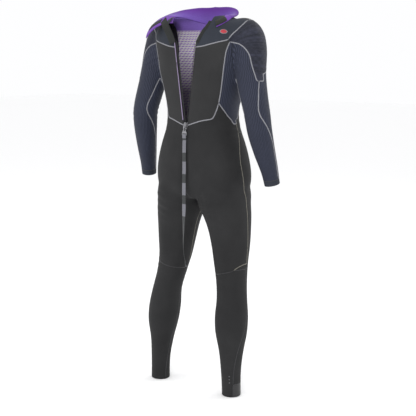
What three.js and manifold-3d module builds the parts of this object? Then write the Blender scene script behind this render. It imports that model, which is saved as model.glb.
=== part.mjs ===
// Full-length wetsuit with a back zip, standing as it does on an invisible dress form.
// Millimetres, +Z up. +X is the wearer's right, +Y is the wearer's front, z = 0 is the ankle hems.
import * as THREE from "three";
import { mergeVertices } from "three/addons/utils/BufferGeometryUtils.js";
import Module from "manifold-3d";

const wasm = await Module();
wasm.setup();

// ---------------------------------------------------------------- driving dimensions
const NEOPRENE = 4; // sheet thickness of the suit
const LINING = 1.5; // thermal lining behind the chest and collar
const MIDDLE_Y = 21; // the middle of the suit, front to back, in the drawing below
const OVERRUN = 12; // the hollow runs this far out of each hem
const SEAM = 0.4; // gap left between two glued panels
const FAR = 400; // cutters reach this far past the suit

const ZIP_Z = 1000; // the zip's lower end, on the waist seam
const ZIP_LENGTH = 292; // row of teeth, from the waist seam to the top of the back
const ZIP_OPEN = 0.1322; // half angle of the open V, radians
const ZIP_Y = -86; // middle plane of the teeth
const TAPE_WIDTH = 13;
const TOOTH_PITCH = 6;

const NECK = { across: 114, deep: 86, y: 6 }; // the neck hole, seen from above
const STRAP = { width: 16, thick: 1.6 };

// Torso rings: height, half width, back and front of the ring, and how square its corners are.
const TORSO = [
  { z: 706, half: 176, back: -92, front: 130, square: 2.2 },
  { z: 745, half: 187, back: -98, front: 142, square: 2.3 },
  { z: 805, half: 191, back: -101, front: 143, square: 2.3 },
  { z: 864, half: 184, back: -100, front: 138, square: 2.3 },
  { z: 924, half: 168, back: -95, front: 130, square: 2.25 },
  { z: 984, half: 147, back: -90, front: 124, square: 2.15 },
  { z: 1042, half: 141, back: -90, front: 122, square: 2.15 },
  { z: 1115, half: 158, back: -90, front: 131, square: 2.25 },
  { z: 1176, half: 176, back: -91, front: 137, square: 2.4 },
  { z: 1235, half: 188, back: -91, front: 135, square: 2.45 },
  { z: 1285, half: 195, back: -90, front: 127, square: 2.5 },
  { z: 1325, half: 191, back: -89, front: 112, square: 2.4 },
  { z: 1352, half: 170, back: -83, front: 97, square: 2.3 },
  { z: 1374, half: 140, back: -70, front: 85, square: 2.2 },
  { z: 1388, half: 108, back: -60, front: 74, square: 2.1 },
];

// Leg rings: height, centre x, centre y, radius across and radius front to back.
const LEG = [
  { z: 760, x: 92, y: 20, across: 84, deep: 104 },
  { z: 703, x: 96, y: 20, across: 93, deep: 105 },
  { z: 665, x: 107, y: 20, across: 89, deep: 94 },
  { z: 627, x: 116, y: 20, across: 82, deep: 85 },
  { z: 549, x: 126, y: 18, across: 72, deep: 72 },
  { z: 490, x: 130, y: 14, across: 64, deep: 65 },
  { z: 421, x: 141, y: 3, across: 57, deep: 59 },
  { z: 353, x: 153, y: -12, across: 57, deep: 58 },
  { z: 294, x: 157, y: -20, across: 62, deep: 62 },
  { z: 245, x: 160, y: -25, across: 60, deep: 61 },
  { z: 157, x: 164, y: -31, across: 45, deep: 45 },
  { z: 93, x: 167, y: -36, across: 38, deep: 38 },
  { z: 0, x: 169, y: -36, across: 36, deep: 36 },
];

// Sleeve rings along the arm's middle line, with the radius of each.
const SLEEVE = [
  { x: 140, y: 24, z: 1316, radius: 54 },
  { x: 183, y: 25, z: 1311, radius: 62 },
  { x: 205, y: 20, z: 1262, radius: 60 },
  { x: 220, y: 5, z: 1176, radius: 54 },
  { x: 238, y: -4, z: 1105, radius: 50 },
  { x: 256, y: -8, z: 1039, radius: 47 },
  { x: 263, y: -2, z: 980, radius: 45 },
  { x: 272, y: 15, z: 907, radius: 39 },
  { x: 282, y: 36, z: 835, radius: 32 },
  { x: 287, y: 46, z: 786, radius: 29 },
];

const TORSO_SIDES = 24;
const LEG_SIDES = 16;
const SLEEVE_SIDES = 14;

// ---------------------------------------------------------------- loft helpers
function loft(rings) {
  const sides = rings[0].length;
  const position = [];
  const index = [];
  for (const ring of rings) {
    for (const p of ring) position.push(p.x, p.y, p.z);
  }
  for (let r = 0; r + 1 < rings.length; r += 1) {
    for (let i = 0; i < sides; i += 1) {
      const j = (i + 1) % sides;
      const a = r * sides + i;
      const b = r * sides + j;
      const c = (r + 1) * sides + j;
      const d = (r + 1) * sides + i;
      index.push(a, b, c, a, c, d);
    }
  }
  const last = (rings.length - 1) * sides;
  for (let i = 1; i + 1 < sides; i += 1) {
    index.push(0, i + 1, i);
    index.push(last, last + i, last + i + 1);
  }
  const geometry = new THREE.BufferGeometry();
  geometry.setAttribute("position", new THREE.Float32BufferAttribute(position, 3));
  geometry.setIndex(index);
  return geometry;
}

const power = (value, exponent) => Math.sign(value) * Math.abs(value) ** exponent;

// The body inside the sheet is inset, and runs out past the open hems.
function torsoSolid(inset) {
  const rings = TORSO.map((s, k) => {
    const middle = (s.back + s.front) / 2;
    const depth = (s.front - s.back) / 2 - inset;
    const ring = [];
    for (let i = 0; i < TORSO_SIDES; i += 1) {
      const turn = (2 * Math.PI * i) / TORSO_SIDES;
      const x = (s.half - inset) * power(Math.cos(turn), 2 / s.square);
      const y = middle + depth * power(Math.sin(turn), 2 / s.square);
      ring.push(new THREE.Vector3(x, y, k === 0 ? s.z + inset : s.z));
    }
    return ring;
  });
  return loft(rings);
}

function legSolid(side, inset) {
  const rings = [...LEG].reverse().map((s) => {
    const ring = [];
    for (let i = 0; i < LEG_SIDES; i += 1) {
      const turn = (2 * Math.PI * i) / LEG_SIDES;
      const x = side * s.x + (s.across - inset) * Math.cos(turn);
      const z = s.z === 0 && inset > 0 ? -OVERRUN : s.z;
      ring.push(new THREE.Vector3(x, s.y + (s.deep - inset) * Math.sin(turn), z));
    }
    return ring;
  });
  return loft(rings);
}

function sleeveSolid(side, inset) {
  const path = SLEEVE.map((s) => new THREE.Vector3(side * s.x, s.y, s.z));
  const front = new THREE.Vector3(0, 1, 0);
  const rings = SLEEVE.map((s, k) => {
    const from = path[Math.max(k - 1, 0)];
    const to = path[Math.min(k + 1, path.length - 1)];
    const along = to.clone().sub(from).normalize();
    const across = front.clone().cross(along).normalize();
    const forward = along.clone().cross(across).normalize();
    const ring = [];
    for (let i = 0; i < SLEEVE_SIDES; i += 1) {
      const turn = (2 * Math.PI * i) / SLEEVE_SIDES;
      const p = path[k].clone();
      if (k === path.length - 1 && inset > 0) p.addScaledVector(along, OVERRUN);
      p.addScaledVector(across, (s.radius - inset) * Math.cos(turn));
      p.addScaledVector(forward, (s.radius - inset) * Math.sin(turn));
      ring.push(p);
    }
    return ring;
  });
  return loft(rings);
}

// ---------------------------------------------------------------- solids and cuts
function bareOf(geometry) {
  const bare = geometry.clone();
  bare.deleteAttribute("normal");
  bare.deleteAttribute("uv");
  return mergeVertices(bare, 1e-4);
}

function solidOf(geometry) {
  const merged = bareOf(geometry);
  const mesh = new wasm.Mesh({
    numProp: 3,
    vertProperties: Float32Array.from(merged.getAttribute("position").array),
    triVerts: Uint32Array.from(merged.index.array),
  });
  return new wasm.Manifold(mesh);
}

function geometryOf(solid) {
  const mesh = solid.getMesh();
  const geometry = new THREE.BufferGeometry();
  geometry.setAttribute("position", new THREE.Float32BufferAttribute(mesh.vertProperties, 3));
  geometry.setIndex(new THREE.Uint32BufferAttribute(mesh.triVerts, 1));
  return geometry;
}

function mirrored(geometry) {
  const other = bareOf(geometry);
  other.scale(-1, 1, 1);
  const index = other.index.array;
  for (let i = 0; i < index.length; i += 3) {
    const keep = index[i];
    index[i] = index[i + 1];
    index[i + 1] = keep;
  }
  return other;
}

const mirroredSolid = (solid) => solidOf(mirrored(geometryOf(solid)));

// Moves every side of a closed outline outwards by a distance.
function grownOutline(points, distance) {
  const pts = points.map(([u, v]) => new THREE.Vector2(u, v));
  const turn = THREE.ShapeUtils.area(pts) > 0 ? 1 : -1;
  return pts.map((p, i) => {
    const before = pts[(i + pts.length - 1) % pts.length];
    const after = pts[(i + 1) % pts.length];
    const a = p.clone().sub(before).normalize();
    const b = after.clone().sub(p).normalize();
    const na = new THREE.Vector2(a.y, -a.x);
    const nb = new THREE.Vector2(b.y, -b.x);
    const middle = na.clone().add(nb);
    middle.multiplyScalar((turn * distance) / (1 + na.dot(nb)));
    return p.clone().add(middle);
  });
}

// A cutter with its outline in the x-z plane, from y = low to y = high.
function frontCutter(outline, low, high, grow) {
  const shape = new THREE.Shape(grownOutline(outline, grow));
  const depth = high - low + 2 * grow;
  const geometry = new THREE.ExtrudeGeometry(shape, { depth, bevelEnabled: false });
  geometry.rotateX(Math.PI / 2);
  geometry.translate(0, high + grow, 0);
  return solidOf(geometry);
}

// A cutter with its outline in the y-z plane, from x = low to x = high.
function sideCutter(outline, low, high, grow) {
  const shape = new THREE.Shape(grownOutline(outline, grow));
  const depth = high - low + 2 * grow;
  const geometry = new THREE.ExtrudeGeometry(shape, { depth, bevelEnabled: false });
  const toSide = new THREE.Matrix4().makeBasis(
    new THREE.Vector3(0, 1, 0),
    new THREE.Vector3(0, 0, 1),
    new THREE.Vector3(1, 0, 0),
  );
  geometry.applyMatrix4(toSide);
  geometry.translate(low - grow, 0, 0);
  return solidOf(geometry);
}

// A thin solid over a grid of points, with its thickness shared between both faces.
function sheetGeometry(grid, thickness) {
  const rows = grid.length;
  const cols = grid[0].length;
  const at = (r, c) => grid[Math.min(Math.max(r, 0), rows - 1)][Math.min(Math.max(c, 0), cols - 1)];
  const position = [];
  for (const face of [0.5, -0.5]) {
    for (let r = 0; r < rows; r += 1) {
      for (let c = 0; c < cols; c += 1) {
        const du = at(r, c + 1).clone().sub(at(r, c - 1));
        const dv = at(r + 1, c).clone().sub(at(r - 1, c));
        const normal = du.cross(dv).normalize();
        const p = grid[r][c].clone().addScaledVector(normal, face * thickness);
        position.push(p.x, p.y, p.z);
      }
    }
  }
  const index = [];
  const top = (r, c) => r * cols + c;
  const under = (r, c) => rows * cols + r * cols + c;
  const quad = (a, b, c, d) => index.push(a, b, c, a, c, d);
  for (let r = 0; r + 1 < rows; r += 1) {
    for (let c = 0; c + 1 < cols; c += 1) {
      quad(top(r, c), top(r, c + 1), top(r + 1, c + 1), top(r + 1, c));
      quad(under(r, c), under(r + 1, c), under(r + 1, c + 1), under(r, c + 1));
    }
    quad(top(r, 0), top(r + 1, 0), under(r + 1, 0), under(r, 0));
    quad(top(r, cols - 1), under(r, cols - 1), under(r + 1, cols - 1), top(r + 1, cols - 1));
  }
  for (let c = 0; c + 1 < cols; c += 1) {
    quad(top(0, c), under(0, c), under(0, c + 1), top(0, c + 1));
    quad(top(rows - 1, c), top(rows - 1, c + 1), under(rows - 1, c + 1), under(rows - 1, c));
  }
  const geometry = new THREE.BufferGeometry();
  geometry.setAttribute("position", new THREE.Float32BufferAttribute(position, 3));
  geometry.setIndex(index);
  return geometry;
}

// ---------------------------------------------------------------- the suit's skin
function skin(inset) {
  let whole = solidOf(torsoSolid(inset));
  for (const side of [1, -1]) {
    whole = whole.add(solidOf(legSolid(side, inset)));
    whole = whole.add(solidOf(sleeveSolid(side, inset)));
  }
  return whole;
}

function neckCutter() {
  const outline = new THREE.Shape();
  outline.absellipse(0, 0, NECK.across + 2, NECK.deep + 2, 0, 2 * Math.PI);
  const options = { depth: 120, bevelEnabled: false, curveSegments: 16 };
  const geometry = new THREE.ExtrudeGeometry(outline, options);
  geometry.translate(0, NECK.y, 1300);
  return solidOf(geometry);
}

// The open V of the zip, wider than the teeth by the width of tape that shows.
const TAPE_SHOWS = 9;
const zipEdge = (z) => Math.tan(ZIP_OPEN) * (z - ZIP_Z);
const V_TOP = [[zipEdge(1272) + TAPE_SHOWS, 1272], [78, 1328], [96, 1352]];
const vOutline = [[-5, ZIP_Z - 22], [TAPE_SHOWS - 3, ZIP_Z - 22], [TAPE_SHOWS, ZIP_Z - 4], ...V_TOP,
  [96, 1420], [-5, 1420]];

// ---------------------------------------------------------------- seam lines (right half)
const YOKE_SEAM = [[76, 1276], [116, 1286], [158, 1296]];
const BACK_SIDE_SEAM = [[167, 1290], [154, 1249], [141, 1175], [119, 1076], [104, 1028], [97, 1018]];
const WAIST_SEAM = [[97, 1018], [61, 1011], [18, 997], [-5, 990]];
const RAGLAN_BACK = [[163, 1299], [175, 1320], [194, 1342], [204, 1372], [204, FAR + 1000]];
const CAP_BACK = [[167, 1290], [206, 1279], [235, 1251], [250, 1207], [268, 1155]];
const CAP_FRONT = [[172, 1290], [205, 1262], [240, 1225], [262, 1195], [290, 1158]];
const RAGLAN_FRONT = [[172, 1290], [182, 1320], [198, 1345], [204, 1372], [204, FAR + 1000]];
const ARMPIT_LINE = [[172, 1290], [170, 1200], [172, 1140], [177, 1100], [196, 1040], [205, 900]];
const SLEEVE_SEAM = [[-22, 1155], [-33, 1111], [-42, 1043], [-11, 986], [14, 939], [20, 914], [52, 786]];
const SIDE_FRONT_SEAM = [[28, 969], [50, 1040], [62, 1115], [66, 1200], [60, 1300]];
const SIDE_LOW_SEAM = [[119, 1076], [131, 1043], [141, 1010], [153, 967]];
const OUTER_LEG_SEAM = [[28, 969], [2, 893], [-2, 847], [7, 792], [28, 720], [24, 633], [27, 480]];
const KNEE_BACK_SEAM = [[40, 432], [94, 446], [147, 459], [172, 467], [185, 480], [230, 520]];
const CALF_OUTER_SEAM = [[27, 520], [10, 400], [-4, 311], [-40, 213], [-54, 142], [-60, 86], [-61, -5]];
const CALF_INNER_SEAM = [[27, 520], [16, 400], [-8, 300], [-36, 123], [-46, 39], [-46, -5]];
const KNEE_PAD = [[94, 430], [102, 404], [134, 394], [166, 404], [176, 430], [172, 520], [158, 545],
  [130, 552], [102, 545], [90, 520]];

const LOW = 600;
const HIGH = 1500;

// Each region is the space that one panel is cut from; grow makes room for the next panel.
const regions = {
  wrist_hem: (grow) => {
    const end = SLEEVE[SLEEVE.length - 1];
    const before = SLEEVE[SLEEVE.length - 2];
    const along = new THREE.Vector3(end.x - before.x, end.y - before.y, end.z - before.z).normalize();
    const block = new THREE.BoxGeometry(120, 120, 100);
    const turned = new THREE.Quaternion().setFromUnitVectors(new THREE.Vector3(0, 0, 1), along);
    block.applyQuaternion(turned);
    const middle = new THREE.Vector3(end.x, end.y, end.z).addScaledVector(along, 50 - 20 - grow);
    block.translate(middle.x, middle.y, middle.z);
    return solidOf(block);
  },
  shoulder_cap: (grow) => {
    const back = [...CAP_BACK, [340, 1155], [340, HIGH], ...[...RAGLAN_BACK].reverse()];
    const front = [...CAP_FRONT, [340, 1155], [340, HIGH], ...[...RAGLAN_FRONT].slice(1).reverse()];
    const behind = frontCutter(back, -FAR, 0.5, grow);
    return behind.add(frontCutter(front, 0, FAR, grow));
  },
  yoke: (grow) => {
    const outline = [[30, 1271], ...YOKE_SEAM, ...RAGLAN_BACK, [30, HIGH]];
    return frontCutter(outline, -FAR, 8, grow);
  },
  back_panel: (grow) => {
    const outline = [...WAIST_SEAM.slice(1), [-5, 1262], [30, 1270.5], ...YOKE_SEAM, ...BACK_SIDE_SEAM];
    return frontCutter(outline, -FAR, 0, grow);
  },
  sleeve_front: (grow) => {
    const beyond = [...ARMPIT_LINE, [205, LOW], [340, LOW], [340, 1290]];
    const ahead = [...SLEEVE_SEAM, [52, LOW], [FAR, LOW], [FAR, 1320], [-22, 1320]];
    return frontCutter(beyond, -FAR, FAR, grow).intersect(sideCutter(ahead, 100, FAR, grow));
  },
  side_panel: (grow) => {
    const sleeve = [...ARMPIT_LINE, [205, LOW], [340, LOW], [340, 1290]];
    const flank = [...SIDE_LOW_SEAM, [172, 960], [210, 960], [210, 1300], [167, 1300],
      ...BACK_SIDE_SEAM.slice(0, 3)];
    const behind = [...SIDE_FRONT_SEAM, [-FAR, 1300], [-FAR, 940], [20, 940]];
    const body = frontCutter(flank, -FAR, FAR, grow).intersect(sideCutter(behind, 60, 230, grow));
    return body.add(frontCutter(sleeve, -FAR, FAR, grow));
  },
  knee_pad: (grow) => frontCutter(KNEE_PAD, 0, FAR, grow),
  thigh_back: (grow) => {
    const outline = [[-5, 990], ...[...WAIST_SEAM].reverse().slice(1, 3), [97, 1018], [104, 1028],
      ...SIDE_LOW_SEAM, [230, 960], ...[...KNEE_BACK_SEAM].reverse(), [-5, 430]];
    const behind = [...OUTER_LEG_SEAM, [27, 400], [-FAR, 400], [-FAR, HIGH], [28, HIGH]];
    return frontCutter(outline, -FAR, FAR, grow).intersect(sideCutter(behind, -5, FAR, grow));
  },
  thigh_front: (grow) => {
    const outline = [[-5, 946], [152, 968], [260, 968], [260, 470], [-5, 470]];
    return frontCutter(outline, -60, FAR, grow);
  },
  ankle_patch: (grow) => {
    const outline = [[-61, -20], [-61, 48], [-8, 48], [-8, -20]];
    return sideCutter(outline, 160, FAR, grow);
  },
  calf: (grow) => {
    const outer = [...CALF_OUTER_SEAM, [-61, -20], [-FAR, -20], [-FAR, 520]];
    const inner = [...CALF_INNER_SEAM, [-46, -20], [-FAR, -20], [-FAR, 520]];
    return sideCutter(outer, 155, FAR, grow).add(sideCutter(inner, -1, 155.5, grow));
  },
  shin: (grow) => frontCutter([[-5, -20], [-5, 469.6], [260, 469.6], [260, -20]], -FAR, FAR, grow),
};

// ---------------------------------------------------------------- assembly
const wetsuit = new THREE.Group();

function add(name, geometry, look) {
  const mesh = new THREE.Mesh(geometry, new THREE.MeshStandardMaterial(look));
  mesh.name = name;
  wetsuit.add(mesh);
}

const SLATE = { color: 0x3c404d, roughness: 0.8, metalness: 0 };
const BLACK = { color: 0x363638, roughness: 0.8, metalness: 0 };
const GLOSS = { color: 0x1c1b1f, roughness: 0.35, metalness: 0 };
const PURPLE = { color: 0x7054a8, roughness: 0.85, metalness: 0 };
const WEB = { color: 0x4b5050, roughness: 0.9, metalness: 0 };
const METAL = { color: 0xa8aab0, roughness: 0.35, metalness: 1 };

const LOOKS = {
  wrist_hem: SLATE, shoulder_cap: SLATE, yoke: SLATE, sleeve_front: SLATE, side_panel: SLATE,
  ankle_patch: GLOSS, knee_pad: GLOSS,
};

const ORDER = ["wrist_hem", "shoulder_cap", "yoke", "back_panel", "sleeve_front", "side_panel",
  "thigh_back", "knee_pad", "thigh_front", "ankle_patch", "calf", "shin"];

const shell = skin(0).subtract(skin(NEOPRENE)).subtract(neckCutter());
const vCut = frontCutter(vOutline, -FAR, -40, 0);
const halfSpace = frontCutter([[0.2, -50], [340, -50], [340, HIGH], [0.2, HIGH]], -FAR, FAR, 0);
let rest = shell.intersect(halfSpace).subtract(vCut);
let taken = null;
for (const name of ORDER) {
  const piece = geometryOf(rest.intersect(regions[name](0)));
  const look = LOOKS[name] ?? BLACK;
  add(`${name}_right`, piece, look);
  add(`${name}_left`, mirrored(piece), look);
  const used = regions[name](SEAM);
  rest = rest.subtract(used);
  taken = taken ? taken.add(used) : used;
}

const center = shell.subtract(taken).subtract(mirroredSolid(taken));
const chestBlock = frontCutter([[-200, 1120], [200, 1120], [200, 1420], [-200, 1420]], -5, FAR, 0);
const bellyBlock = frontCutter([[-200, 940], [200, 940], [200, 1119.6], [-200, 1119.6]], -60, FAR, 0);
add("chest_panel", geometryOf(center.intersect(chestBlock)), BLACK);
add("belly_panel", geometryOf(center.intersect(bellyBlock)), BLACK);

// The warm lining that shows through the open back, a little inside the chest panel.
const liningOuter = solidOf(torsoSolid(NEOPRENE + 0.5));
const liningInner = solidOf(torsoSolid(NEOPRENE + 0.5 + LINING));
const liningBlock = frontCutter([[-150, 1010], [150, 1010], [150, 1334], [-150, 1334]], 12, FAR, 0);
const lining = liningOuter.subtract(liningInner).intersect(liningBlock).subtract(neckCutter());
add("chest_lining", geometryOf(lining), { color: 0xc9c3cc, roughness: 0.95, metalness: 0 });

// ---------------------------------------------------------------- collar
// A point on the neck hole; turn 0 is the wearer's right, a quarter turn is the front.
const neckPoint = (turn, grow, z) => new THREE.Vector3(
  (NECK.across + grow) * Math.cos(turn),
  NECK.y + (NECK.deep + grow) * Math.sin(turn),
  z,
);

// The standing part of the collar, highest in front, leaning out a little at its top edge.
function collarBand(inset, thickness, drop) {
  const start = -0.16;
  const end = Math.PI - start;
  const around = 22;
  const grid = [];
  for (const share of [0, 0.5, 1]) {
    const row = [];
    for (let i = 0; i <= around; i += 1) {
      const turn = start + ((end - start) * i) / around;
      const side = Math.abs(Math.cos(turn));
      const foot = 1346 + 34 * side ** 2 - drop;
      const edge = 1421 - 19 * side ** 2;
      const z = foot + (edge - foot) * share;
      row.push(neckPoint(turn, 5 * share - 3 - inset, z));
    }
    grid.push(row);
  }
  return sheetGeometry(grid, thickness);
}
add("collar_front", collarBand(0, 2.6, 0), SLATE);
add("collar_lining", collarBand(3.8, LINING, 6), PURPLE);

// Bends a small grid of chosen points into a smooth patch of sheet.
function patch(control, rows, cols) {
  const across = control.map((line) => new THREE.CatmullRomCurve3(line.map((p) => new THREE.Vector3(...p))));
  const grid = [];
  for (let r = 0; r <= rows; r += 1) {
    const row = [];
    for (let c = 0; c <= cols; c += 1) {
      const column = new THREE.CatmullRomCurve3(across.map((curve) => curve.getPoint(c / cols)));
      row.push(column.getPoint(r / rows));
    }
    grid.push(row);
  }
  return grid;
}

// The ends of the collar lie folded out over the shoulders; lines run from the neck outwards.
const RIGHT_END = [
  [[112, -14, 1393], [142, -20, 1394], [170, -26, 1380]],
  [[103, -40, 1390], [134, -48, 1386], [160, -56, 1370]],
  [[88, -62, 1384], [112, -74, 1374], [134, -82, 1356]],
];
const LEFT_END = [
  [[-112, -14, 1393], [-148, -24, 1388], [-184, -34, 1362]],
  [[-100, -44, 1388], [-146, -62, 1374], [-194, -62, 1330]],
  [[-84, -68, 1380], [-130, -86, 1358], [-180, -78, 1308]],
];
add("collar_end_right", sheetGeometry(patch(RIGHT_END, 6, 6), 4), PURPLE);
add("collar_end_left", sheetGeometry(patch(LEFT_END, 6, 8), 4), PURPLE);

// A smaller patch that lies on a larger one: shares of its rows and columns, lifted off it.
function onPatch(control, from, to, lift, thickness, rows, cols) {
  const fine = patch(control, 20, 20);
  const grid = [];
  for (let r = 0; r <= rows; r += 1) {
    const row = [];
    for (let c = 0; c <= cols; c += 1) {
      const u = Math.round((from[0] + ((to[0] - from[0]) * r) / rows) * 20);
      const v = Math.round((from[1] + ((to[1] - from[1]) * c) / cols) * 20);
      const p = fine[u][v].clone();
      const du = fine[Math.min(u + 1, 20)][v].clone().sub(fine[Math.max(u - 1, 0)][v]);
      const dv = fine[u][Math.min(v + 1, 20)].clone().sub(fine[u][Math.max(v - 1, 0)]);
      const normal = du.cross(dv).normalize();
      if (normal.z < 0) normal.negate();
      row.push(p.addScaledVector(normal, lift));
    }
    grid.push(row);
  }
  return sheetGeometry(grid, thickness);
}
add("loop_patch", onPatch(LEFT_END, [0.35, 0.3], [0.75, 0.85], 3.7, 1.4, 4, 5), BLACK);

// ---------------------------------------------------------------- back zip
const zipTop = ZIP_Z + ZIP_LENGTH;

// Turns a piece drawn on the closed zip's middle line out to the open V.
function opened(geometry) {
  geometry.translate(0, 0, -ZIP_Z);
  geometry.rotateY(ZIP_OPEN);
  geometry.translate(0, 0, ZIP_Z);
  return geometry;
}

function zipTape() {
  const from = ZIP_Z + 6;
  const to = zipTop + 4;
  const tape = new THREE.BoxGeometry(TAPE_WIDTH, 1.2, to - from);
  tape.translate(3.6 + TAPE_WIDTH / 2, ZIP_Y + 3.4, (from + to) / 2);
  return opened(tape);
}

// One side's teeth, moulded on a cord at the edge of the tape.
function zipTeeth(offset) {
  const from = ZIP_Z + 8 + offset;
  const count = Math.floor((ZIP_LENGTH - 14) / TOOTH_PITCH);
  const tooth = TOOTH_PITCH * 0.45;
  const outline = new THREE.Shape();
  outline.moveTo(3.2, from - 1.5);
  outline.lineTo(3.2, from + count * TOOTH_PITCH);
  outline.lineTo(1.8, from + count * TOOTH_PITCH);
  for (let i = count - 1; i >= 0; i -= 1) {
    const z = from + i * TOOTH_PITCH;
    outline.lineTo(1.8, z + tooth);
    outline.lineTo(0.3, z + tooth);
    outline.lineTo(0.3, z);
    outline.lineTo(1.8, z);
  }
  outline.lineTo(1.8, from - 1.5);
  const geometry = new THREE.ExtrudeGeometry(outline, { depth: 3, bevelEnabled: false });
  geometry.rotateX(Math.PI / 2);
  geometry.translate(0, ZIP_Y + 2.4, 0);
  return opened(geometry);
}

const DARK = { color: 0x232526, roughness: 0.55, metalness: 0 };
add("zip_tape_right", zipTape(), DARK);
add("zip_tape_left", mirrored(zipTape()), DARK);
add("zip_teeth_right", zipTeeth(0), DARK);
add("zip_teeth_left", mirrored(zipTeeth(TOOTH_PITCH / 2)), DARK);

// The left half's flap of facing, turned out beside the top of the teeth.
const GUARD = [
  [[-48, -93, 1292], [-58, -93.5, 1292], [-68, -93.5, 1293]],
  [[-58, -92, 1326], [-70, -93, 1325], [-82, -92.5, 1324]],
  [[-72, -88, 1356], [-84, -89.5, 1354], [-97, -92, 1352]],
];
add("zip_guard_left", sheetGeometry(patch(GUARD, 5, 3), 2), BLACK);

const stop = new THREE.BoxGeometry(9, 4.4, 5);
stop.translate(0, ZIP_Y, ZIP_Z - 18);
add("zip_bottom_stop", stop, METAL);

// ---------------------------------------------------------------- slider, pull and strap
const SLIDER = { low: ZIP_Z - 14, high: ZIP_Z + 4, half: 6, bridge: 0.6 };
const PIVOT = { y: -96.5, z: ZIP_Z - 11.2 }; // the pull turns here in the slider's bail

function zipSlider() {
  const plate = (low, high) => {
    const { half } = SLIDER;
    const outline = [[-half + 2, SLIDER.low], [half - 2, SLIDER.low], [half, SLIDER.low + 6],
      [half, SLIDER.high - 3], [half - 3, SLIDER.high], [-half + 3, SLIDER.high],
      [-half, SLIDER.high - 3], [-half, SLIDER.low + 6]];
    return frontCutter(outline, low, high, 0);
  };
  const { bridge } = SLIDER;
  const web = [[-bridge, ZIP_Z + 1], [bridge, ZIP_Z + 1], [bridge, SLIDER.high], [-bridge, SLIDER.high]];
  const bail = sideCutter([[PIVOT.y - 3, ZIP_Z - 15], [-91, ZIP_Z - 15], [-91, ZIP_Z + 1],
    [PIVOT.y - 1, ZIP_Z + 1], [PIVOT.y - 3, ZIP_Z - 1]], -1.4, 1.4, 0);
  const eye = sideCutter([[PIVOT.y - 1.5, ZIP_Z - 13], [-92.4, ZIP_Z - 13], [-92.4, ZIP_Z - 2],
    [PIVOT.y - 1.5, ZIP_Z - 2]], -3, 3, 0);
  const body = plate(-92.4, -90.4).add(plate(-81.5, -79.9));
  return geometryOf(body.add(frontCutter(web, -91, -81, 0)).add(bail.subtract(eye)));
}
add("zip_slider", zipSlider(), METAL);

// Flat metal pull: a narrow neck round the bail and a wide slot for the webbing.
function pullTab() {
  const top = PIVOT.z + 1.2;
  const foot = top - 32;
  const shape = new THREE.Shape();
  shape.moveTo(-5, top);
  shape.lineTo(-5, top - 12);
  shape.lineTo(-10.5, top - 23);
  shape.lineTo(-10.5, foot);
  shape.lineTo(10.5, foot);
  shape.lineTo(10.5, top - 23);
  shape.lineTo(5, top - 12);
  shape.lineTo(5, top);
  const hole = (half, low, high) => {
    const path = new THREE.Path();
    path.moveTo(-half, low);
    path.lineTo(half, low);
    path.lineTo(half, high);
    path.lineTo(-half, high);
    shape.holes.push(path);
  };
  hole(2.2, top - 17, top - 2.5);
  hole(8.7, foot + 3, foot + 7);
  const geometry = new THREE.ExtrudeGeometry(shape, { depth: 1.5, bevelEnabled: false });
  geometry.rotateX(Math.PI / 2);
  geometry.translate(0, PIVOT.y + 0.75, 0);
  return geometry;
}
add("pull_tab", pullTab(), METAL);

// A band of webbing along a route: half its width is laid off sideways, turned by the twist.
function webbing(route, width, thickness, steps, twist) {
  const curve = new THREE.CatmullRomCurve3(route.map((p) => new THREE.Vector3(...p)));
  const grid = [];
  for (let i = 0; i <= steps; i += 1) {
    const share = i / steps;
    const p = curve.getPoint(share);
    const turn = twist(share);
    const side = new THREE.Vector3(Math.cos(turn), Math.sin(turn), 0);
    grid.push([-0.5, 0, 0.5].map((k) => p.clone().addScaledVector(side, k * width)));
  }
  return sheetGeometry(grid, thickness);
}

// The webbing's short sewn loop runs through the slot of the pull and back on itself.
const SLOT_Z = PIVOT.z + 1.2 - 32 + 1.5;
const PLY = 2.4; // each ply of the loop lies this far from the pull's middle plane
const LOOP = [[0, PIVOT.y + PLY, SLOT_Z - 10], [0, PIVOT.y + PLY, SLOT_Z], [0, PIVOT.y, SLOT_Z + 3.5],
  [0, PIVOT.y - PLY, SLOT_Z], [0, PIVOT.y - PLY, SLOT_Z - 12]];
add("strap_loop", webbing(LOOP, STRAP.width, 1.2, 14, () => 0), WEB);

const ROUTE = [[0, PIVOT.y, SLOT_Z - 3], [0, PIVOT.y - 0.5, SLOT_Z - 18], [1, -99.5, 925], [3, -103, 880],
  [5, -105.5, 840], [5, -107, 800], [5, -107.5, 750], [5, -107.5, 700], [4, -108, 650], [4, -109.5, 600],
  [4, -111, 560], [7, -112, 525], [13, -112.5, 497]];
const turnOut = (share) => (share < 0.62 ? 0 : 1.15 * Math.sin(((share - 0.62) / 0.38) * Math.PI * 0.55));
add("pull_strap", webbing(ROUTE, STRAP.width, STRAP.thick, 40, turnOut), WEB);

// The free end is doubled over and sewn, so that it can't slip through a wet hand.
const END = [[13.2, -112.5, 496.3], [15, -112.5, 488], [17, -112.5, 479]];
add("strap_end", webbing(END, STRAP.width, 3.6, 3, () => turnOut(1)), WEB);

// Hook tab of the collar, folded back on the lining at the collar's right end.
add("collar_tab", onPatch(RIGHT_END, [0.55, 0.1], [0.95, 0.85], 3.4, 1.8, 3, 4), BLACK);

// The origin is on the floor under the middle of the suit's box.
wetsuit.position.y = -MIDDLE_Y;

export default wetsuit;
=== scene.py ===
# %% [markdown]
# # A full-length wetsuit with a back zip
#
# A wetsuit is a tailored skin: soft neoprene panels, glued edge to edge and sewn over, that keep the
# shape of the body inside. This lesson builds one around a jointed frame. The frame holds the plain
# working model; here each piece gets its real shape, its seams and its finish.

import math

import bmesh
import bpy
import numpy as np
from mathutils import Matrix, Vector
from mathutils.bvhtree import BVHTree


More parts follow.
